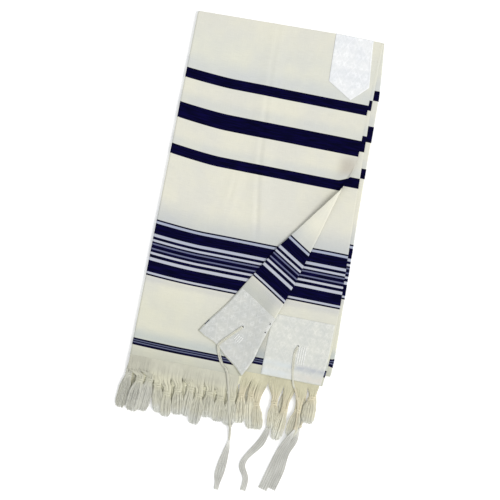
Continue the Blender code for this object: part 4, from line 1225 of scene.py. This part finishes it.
# ---------------------------------------------------------------- tzitzit
TZITZIT = [
    Tzitzit(
        "tzitzit_from_turned_corner", "tzitzit_turned_corner",
        [
            (240.4, 689.6, 13.4, 2, 0.6), (236, 694, 14.3, 2.8, 0.6), (215, 715.5, 14.2, 3, 0.6),
            (197, 735, 14.3, 3, 0.7), (195, 745, 14, 3.2, 1), (198.5, 757, 12.4, 3.4, 1.1),
            (205.5, 773, 11.9, 3.2, 1.2),
        ],
        [
            (212.5, 783, 12.2, 2.6, 1.6), (223, 792, 12.2, 2.8, 1.7), (229, 808, 12.2, 2.4, 1.5),
            (233.5, 825, 12.2, 2.4, 1.5), (238, 842, 12.2, 2.8, 1.7), (242.5, 862, 11.6, 2.4, 1.5),
            (246, 881, 10.4, 2.4, 1.5), (256, 917, 7.4, 2.7, 1.7), (260.6, 949, 2.8, 2.4, 1.4),
        ],
        [
            (260.5, 953, 2.8, 3, 0.9), (259.6, 968, 2.5, 6.4, 0.75), (257.6, 987, 2.5, 9.2, 0.75),
            (254.6, 1014, 2.5, 12, 0.75), (252.8, 1034, 2.5, 11, 0.75), (253.2, 1050, 2.5, 7.2, 0.75),
            (253, 1067, 2.5, 5.4, 0.75),
        ],
        [1, 4, 7], WOUND,
    ),
    Tzitzit(
        "tzitzit_from_hidden_left", "tzitzit_hidden_left",
        [
            (349.6, 762, 3, 1.8, 1), (350.7, 790, 3, 2, 1.1), (350.7, 812, 3, 1.9, 1.1),
        ],
        [
            (350.7, 822.6, 3, 2.4, 1.6), (348, 845, 2.9, 2, 1.4), (344.5, 868, 2.9, 2, 1.4),
            (342.5, 893, 2.9, 2.4, 1.5),
        ],
        [
            (342.2, 897, 2.8, 2.2, 0.8), (342, 911, 2.5, 6.4, 0.75), (332, 943, 2.5, 9.6, 0.75),
            (307.5, 979.5, 2.5, 7, 0.75), (301.5, 1003, 2.5, 8.2, 0.75), (314.5, 1029, 2.5, 7.2, 0.75),
            (313.5, 1057, 2.5, 7.2, 0.75),
        ],
        [0, 3], WARMER,
    ),
    Tzitzit(
        "tzitzit_from_second_corner", "tzitzit_second_corner",
        [
            (373.4, 708.4, 9.2, 2, 0.6), (371.6, 714, 10.4, 2.6, 0.6), (368.8, 728, 10.4, 3, 0.6),
            (371, 754, 10.4, 3, 0.6), (374.4, 779, 10.8, 2.4, 1), (381, 799, 10.8, 2.1, 1.2),
        ],
        [
            (385, 804.3, 11, 2.3, 1.5), (394.5, 825, 10.2, 2.6, 1.8), (399, 840, 10, 2, 1.5),
            (401, 852.3, 10, 2, 1.5), (402.5, 875, 9.6, 2, 1.5), (403, 893.4, 9.4, 2.4, 1.7),
        ],
        [
            (402.6, 897, 9.4, 2.2, 0.8), (392.5, 921, 8.6, 7.4, 0.75), (379, 954.4, 2.6, 9, 0.75),
            (368.8, 998, 2.5, 11, 0.75), (357, 1046, 2.5, 11.6, 0.75),
        ],
        [1, 5], WARMER,
    ),
    Tzitzit(
        "tzitzit_from_hidden_right", "tzitzit_hidden_right",
        [
            (421, 762, 2.9, 1.8, 1), (421.4, 790, 2.9, 2, 1.1), (421.6, 815, 2.8, 1.9, 1.1),
        ],
        [
            (421.6, 822, 2.8, 2.4, 1.5), (421.6, 850, 2.8, 2, 1.3), (418, 870, 2.8, 2, 1.3),
            (414, 888, 2.8, 2.3, 1.4),
        ],
        [
            (413.2, 892, 2.8, 2.2, 0.8), (408, 921, 2.5, 7.2, 0.75), (394.8, 954.4, 2.5, 8.2, 0.75),
            (388.8, 998, 2.5, 9.4, 0.75), (377.8, 1042, 2.5, 9.8, 0.75),
        ],
        [0, 3], WARMER,
    ),
]


def frames(route):
    """For each row of a route: its section, and its plan directions along and to the side."""
    framed = []
    for index, values in enumerate(route):
        before = route[max(index - 1, 0)]
        after = route[min(index + 1, len(route) - 1)]
        run = Vector((after[0] - before[0], after[1] - before[1])).normalized()
        framed.append((Section(*values), run, Vector((run.y, -run.x))))
    return framed


def add_strings(strands, framed, lanes, rng, start, radius=STRING):
    """Parallel strings along a route: each has a lane (across, height) of -1 to 1."""
    for lane_across, lane_height in lanes:
        phase = rng.uniform(0, 2 * math.pi)
        sway = rng.uniform(0.12, 0.3)
        points = []
        for index, (section, run, side) in enumerate(framed):
            wander = sway * math.sin(phase + index * 0.45)
            offset = side * (lane_across * max(section.half_width - STRING, 0.3) + wander)
            height = max(section.height + lane_height * (section.half_height + 0.1), STRING + 0.05)
            points.append((section.across + offset.x, section.along + offset.y, height))
        strands.add(points, radius, start=start)


def add_winding(strands, framed, tone):
    """The winding string: a close helix round the bundle."""
    route = []
    angle = 0
    for (section, run, side), (after, *_) in zip(framed, framed[1:]):
        turns = math.dist(section[:3], after[:3]) / WINDING_PITCH
        steps = max(round(turns * 10), 1)
        for step in range(steps):
            angle += 2 * math.pi * turns / steps
            across, along, height, half_width, half_height = (
                mix(first, second, step / steps) for first, second in zip(section, after)
            )
            offset = side * math.cos(angle) * (half_width - WINDING * 0.4)
            route.append((across + offset.x, along + offset.y, height + math.sin(angle) * half_height))
    strands.add(route, WINDING, start=tone)


def make_tzitzit(tzitzit, material, seed):
    rng = random.Random(seed)
    strands = Strands(6)
    loop = frames(smooth_route(tzitzit.loop + tzitzit.wound[:1], 8))
    wound = frames(smooth_route(tzitzit.wound, 8))
    strings = frames(smooth_route(tzitzit.wound[-1:] + tzitzit.strings, 9))
    add_strings(strands, loop, [(-1, 0), (-0.33, 0.5), (0.33, 0), (1, 0.4)], rng, WOUND)
    bundle = [(s.across, s.along, s.height) for s, *_ in wound]
    strands.add(bundle, [min(s.half_width, s.half_height) * 0.95 for s, *_ in wound])
    add_winding(strands, wound, tzitzit.tone)
    for place in tzitzit.knots:
        section, run, _ = frames(tzitzit.wound)[place]
        half_width = section.half_width + 1.1
        knot_turns(strands, section[:3], run, half_width, section.half_height + 0.9, 0.85, tzitzit.tone)
    for ply in range(END_PLIES):
        lane = ((2 * ply + 1) / END_PLIES - 1, 1 if ply % 2 else -1)
        add_strings(strands, strings, [lane], rng, LIGHTER if ply % 4 == 3 else 0, END_PLY)
    return strands.piece(tzitzit.name, material)


# ---------------------------------------------------------------- sewing
# Each surface gives the point on top of a patch for a point of its flat cloth.
def surface_second(across, along):
    return across, along, second_height(across, along) + PATCH_TOP


def surface_turned(across, along):
    return over_turned(across, along, PATCH_TOP)


def surface_neck(across, along):
    return across, risen(across, along), panel_mid(across, along) + PATCH_TOP


def add_thread(strands, surface, places, lifts, radius, flatten=1):
    """A thread over a surface, through places on its flat cloth, with its lift at each."""
    points = [(*surface(*place), lift) for place, lift in zip(places, lifts)]
    strands.add([(x, y, z + lift) for x, y, z, lift in points], radius, flatten)


def add_seam(strands, surface, corners):
    """A line of stitches over a surface, through corners given on its flat cloth."""
    lifts = [0.16 * math.sin(math.pi * step / 4) - 0.04 for step in range(5)]
    for start, end in zip(corners, corners[1:]):
        length = math.dist(start, end)
        for index in range(int(length / STITCH_PITCH)):
            shares = [(index * STITCH_PITCH + STITCH * step / 4 + 0.4) / length for step in range(5)]
            places = [[mix(a, b, share) for a, b in zip(start, end)] for share in shares]
            add_thread(strands, surface, places, lifts, 0.2)


def add_eyelet(strands, surface, across, along, radius):
    """A hole's worked edge: short satin stitches all round."""
    lifts = [0.3 * math.sin(math.pi * step / 3) for step in range(4)]
    for index in range(26):
        angle = 2 * math.pi * index / 26
        reaches = [radius + step * 0.55 for step in range(4)]
        places = [(across + math.cos(angle) * reach, along + math.sin(angle) * reach) for reach in reaches]
        add_thread(strands, surface, places, lifts, 0.3)


def add_bars(strands, surface, acrosses, start, end):
    """Raised satin-stitched bars, one at each place across."""
    for across in acrosses:
        places = [(across, mix(start, end, step / 12)) for step in range(13)]
        add_thread(strands, surface, places, [0.1] * 13, [0.4] + [1.15] * 11 + [0.4], 0.8)


def sew_neck(strands):
    left = NECK_LEFT + STITCH_INSET
    right = NECK_RIGHT - STITCH_INSET
    shoulder = NECK_SHOULDER - STITCH_INSET * 0.55
    add_seam(strands, surface_neck, [
        (left, 7), (left + NECK_SLANT, shoulder + 2), (NECK_TIP, NECK_POINT - STITCH_INSET * 1.2),
        (right - 1.5, shoulder), (right - 12, 7),
    ])


def sew_second(strands):
    start = SECOND_END - PATCH_SIDE + STITCH_INSET
    end = SECOND_END - PATCH_INSET - STITCH_INSET
    left = SECOND_RIGHT_EDGE[-1].across - PATCH_SIDE + STITCH_INSET
    right_top, right_bottom = (
        soft_edge(SECOND_RIGHT_EDGE, along) - SECOND_PATCH_INSET - STITCH_INSET for along in (start, end)
    )
    corners = [(left, end), (left, start), (right_top, start), (right_bottom, end), (left, end)]
    add_seam(strands, surface_second, corners)
    add_eyelet(strands, surface_second, 373.4, 708.4, 2.2)
    add_bars(strands, surface_second, (377.5, 382.5, 387.5, 392.5), 706, 750)


def sew_turned(strands):
    start = HALF_LENGTH - PATCH_SIDE + STITCH_INSET
    end = HALF_LENGTH - PATCH_INSET - STITCH_INSET
    outer = PANEL_WIDTH - PATCH_INSET - STITCH_INSET
    add_seam(strands, surface_turned, [
        (fold_across(start) + 2, start), (outer, start), (outer, end), (fold_across(end) + 2, end),
    ])
    for eyelet in TURNED_EYELETS:
        add_eyelet(strands, surface_turned, *eyelet)
    add_bars(strands, surface_turned, (344.6, 349, 353.4, 357.8), 741, 758)


def make_sewing(name, sew, material):
    strands = Strands(5)
    sew(strands)
    return strands.piece(name, material)


# ---------------------------------------------------------------- stage
VIEW_ACROSS = 222.9      # the garment point in the middle of the view
VIEW_ALONG = 513.8
VIEW_SIZE = 1.1425       # width of the view at the cloth, in metres
VIEW_ROLL = math.radians(11.2)
CAMERA_HEIGHT = 3.2
SENSOR = 36
KEY_FROM = (0.76, -0.16, 0.86)
KEY_STRENGTH = 1.85
KEY_SOFTNESS = math.radians(34)
FILL_STRENGTH = 0.73
FLOOR_GLOW = 0.2         # the floor is a lit table, so shadows on it stay faint
FLOOR_HALF = 4           # half of its side, in metres
FLOOR_DROP = 0.0003      # it lies this far below the cloth, in metres


def make_stage():
    corners = [(-1, -1), (1, -1), (1, 1), (-1, 1)]
    points = [(x * FLOOR_HALF, y * FLOOR_HALF, -FLOOR_DROP) for x, y in corners]
    add_piece("floor", points, [(0, 1, 2, 3)], pale_floor())

    world = bpy.data.worlds.new("studio")
    bpy.context.scene.world = world
    world.use_nodes = True
    background = world.node_tree.nodes["Background"]
    background.inputs["Color"].default_value = (0.98, 0.99, 1, 1)
    background.inputs["Strength"].default_value = FILL_STRENGTH

    light = bpy.data.lights.new("key_light", "SUN")
    light.energy = KEY_STRENGTH
    light.angle = KEY_SOFTNESS
    light.color = (1, 0.985, 0.96)
    lamp = bpy.data.objects.new("key_light", light)
    lamp.rotation_euler = Vector(KEY_FROM).to_track_quat("Z", "Y").to_euler()
    bpy.context.scene.collection.objects.link(lamp)


def make_camera():
    data = bpy.data.cameras.new("camera")
    camera = bpy.data.objects.new("camera", data)
    x, y, z = to_space(VIEW_ACROSS, VIEW_ALONG, UPPER_MID)
    camera.location = (x, y, z + CAMERA_HEIGHT)
    camera.rotation_euler = (0, 0, VIEW_ROLL)
    data.sensor_width = SENSOR
    data.lens = SENSOR * CAMERA_HEIGHT / VIEW_SIZE
    bpy.context.scene.collection.objects.link(camera)
    bpy.context.scene.camera = camera


# ---------------------------------------------------------------- the whole scene
def main():
    bpy.context.scene.view_settings.view_transform = "Standard"
    make_stage()
    make_camera()
    wool = striped_wool()
    neck_satin = satin_damask("satin_neck", *NECK_COLOURS)
    turned_satin = satin_damask("satin_turned_corner", *TURNED_COLOURS, TURNED_EYELETS)
    second_satin = satin_damask("satin_second_corner", *SECOND_COLOURS, SECOND_EYELETS, SECOND_HEM_SHADING)
    fringe_yarn = twisted_yarn("fringe_yarn", FRINGE_ZONES, 2.6, 0.88)
    lower_yarn = twisted_yarn("fringe_yarn_lower", LOWER_FRINGE_ZONES, 2.6, 0.88)
    cord_yarn = twisted_yarn("cord_yarn", CORD_ZONES, 2.2, 0.8)
    thread = twisted_yarn("sewing_thread", [(0, (240, 241, 239))], 0.9, 0.55)

    upper = shell("shawl_upper", upper_rows(), CLOTH, wool)
    second = shell("shawl_second", second_rows(), CLOTH, wool)
    hidden = make_folded_core(wool)
    neck = shell("patch_neck", neck_rows(), SATIN, neck_satin)
    turned_patch = shell("patch_turned_corner", turned_patch_rows(), SATIN, turned_satin)
    second_patch = shell("patch_second_corner", second_patch_rows(), SATIN, second_satin)
    fringe_upper, fringe_second, fringe_hidden = make_fringes(fringe_yarn, lower_yarn)
    strings = [make_tzitzit(tzitzit, cord_yarn, 21 + i) for i, tzitzit in enumerate(TZITZIT)]
    sewing_neck = make_sewing("stitches_neck", sew_neck, thread)
    sewing_second = make_sewing("stitches_second_corner", sew_second, thread)
    sewing_turned = make_sewing("stitches_turned_corner", sew_turned, thread)

    finishes = [
        (upper, "upper_panel", "cream_wool"),
        (second, "second_panel", "cream_wool"),
        (hidden, "folded_core", "cream_wool"),
        (neck, "neck_patch", "white_satin"),
        (turned_patch, "corner_patch_turned", "white_satin"),
        (second_patch, "corner_patch_second", "white_satin"),
        (fringe_upper, "fringe_upper", "cream_yarn"),
        (fringe_second, "fringe_second", "cream_yarn"),
        (fringe_hidden, "fringe_core", "cream_yarn"),
    ]
    finishes += [(piece, tzitzit.node, "cream_yarn") for piece, tzitzit in zip(strings, TZITZIT)]
    for piece, node, slot in finishes:
        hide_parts(node)
        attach(piece, "root")
    for piece in (sewing_neck, sewing_second, sewing_turned):
        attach(piece, "root")


main()
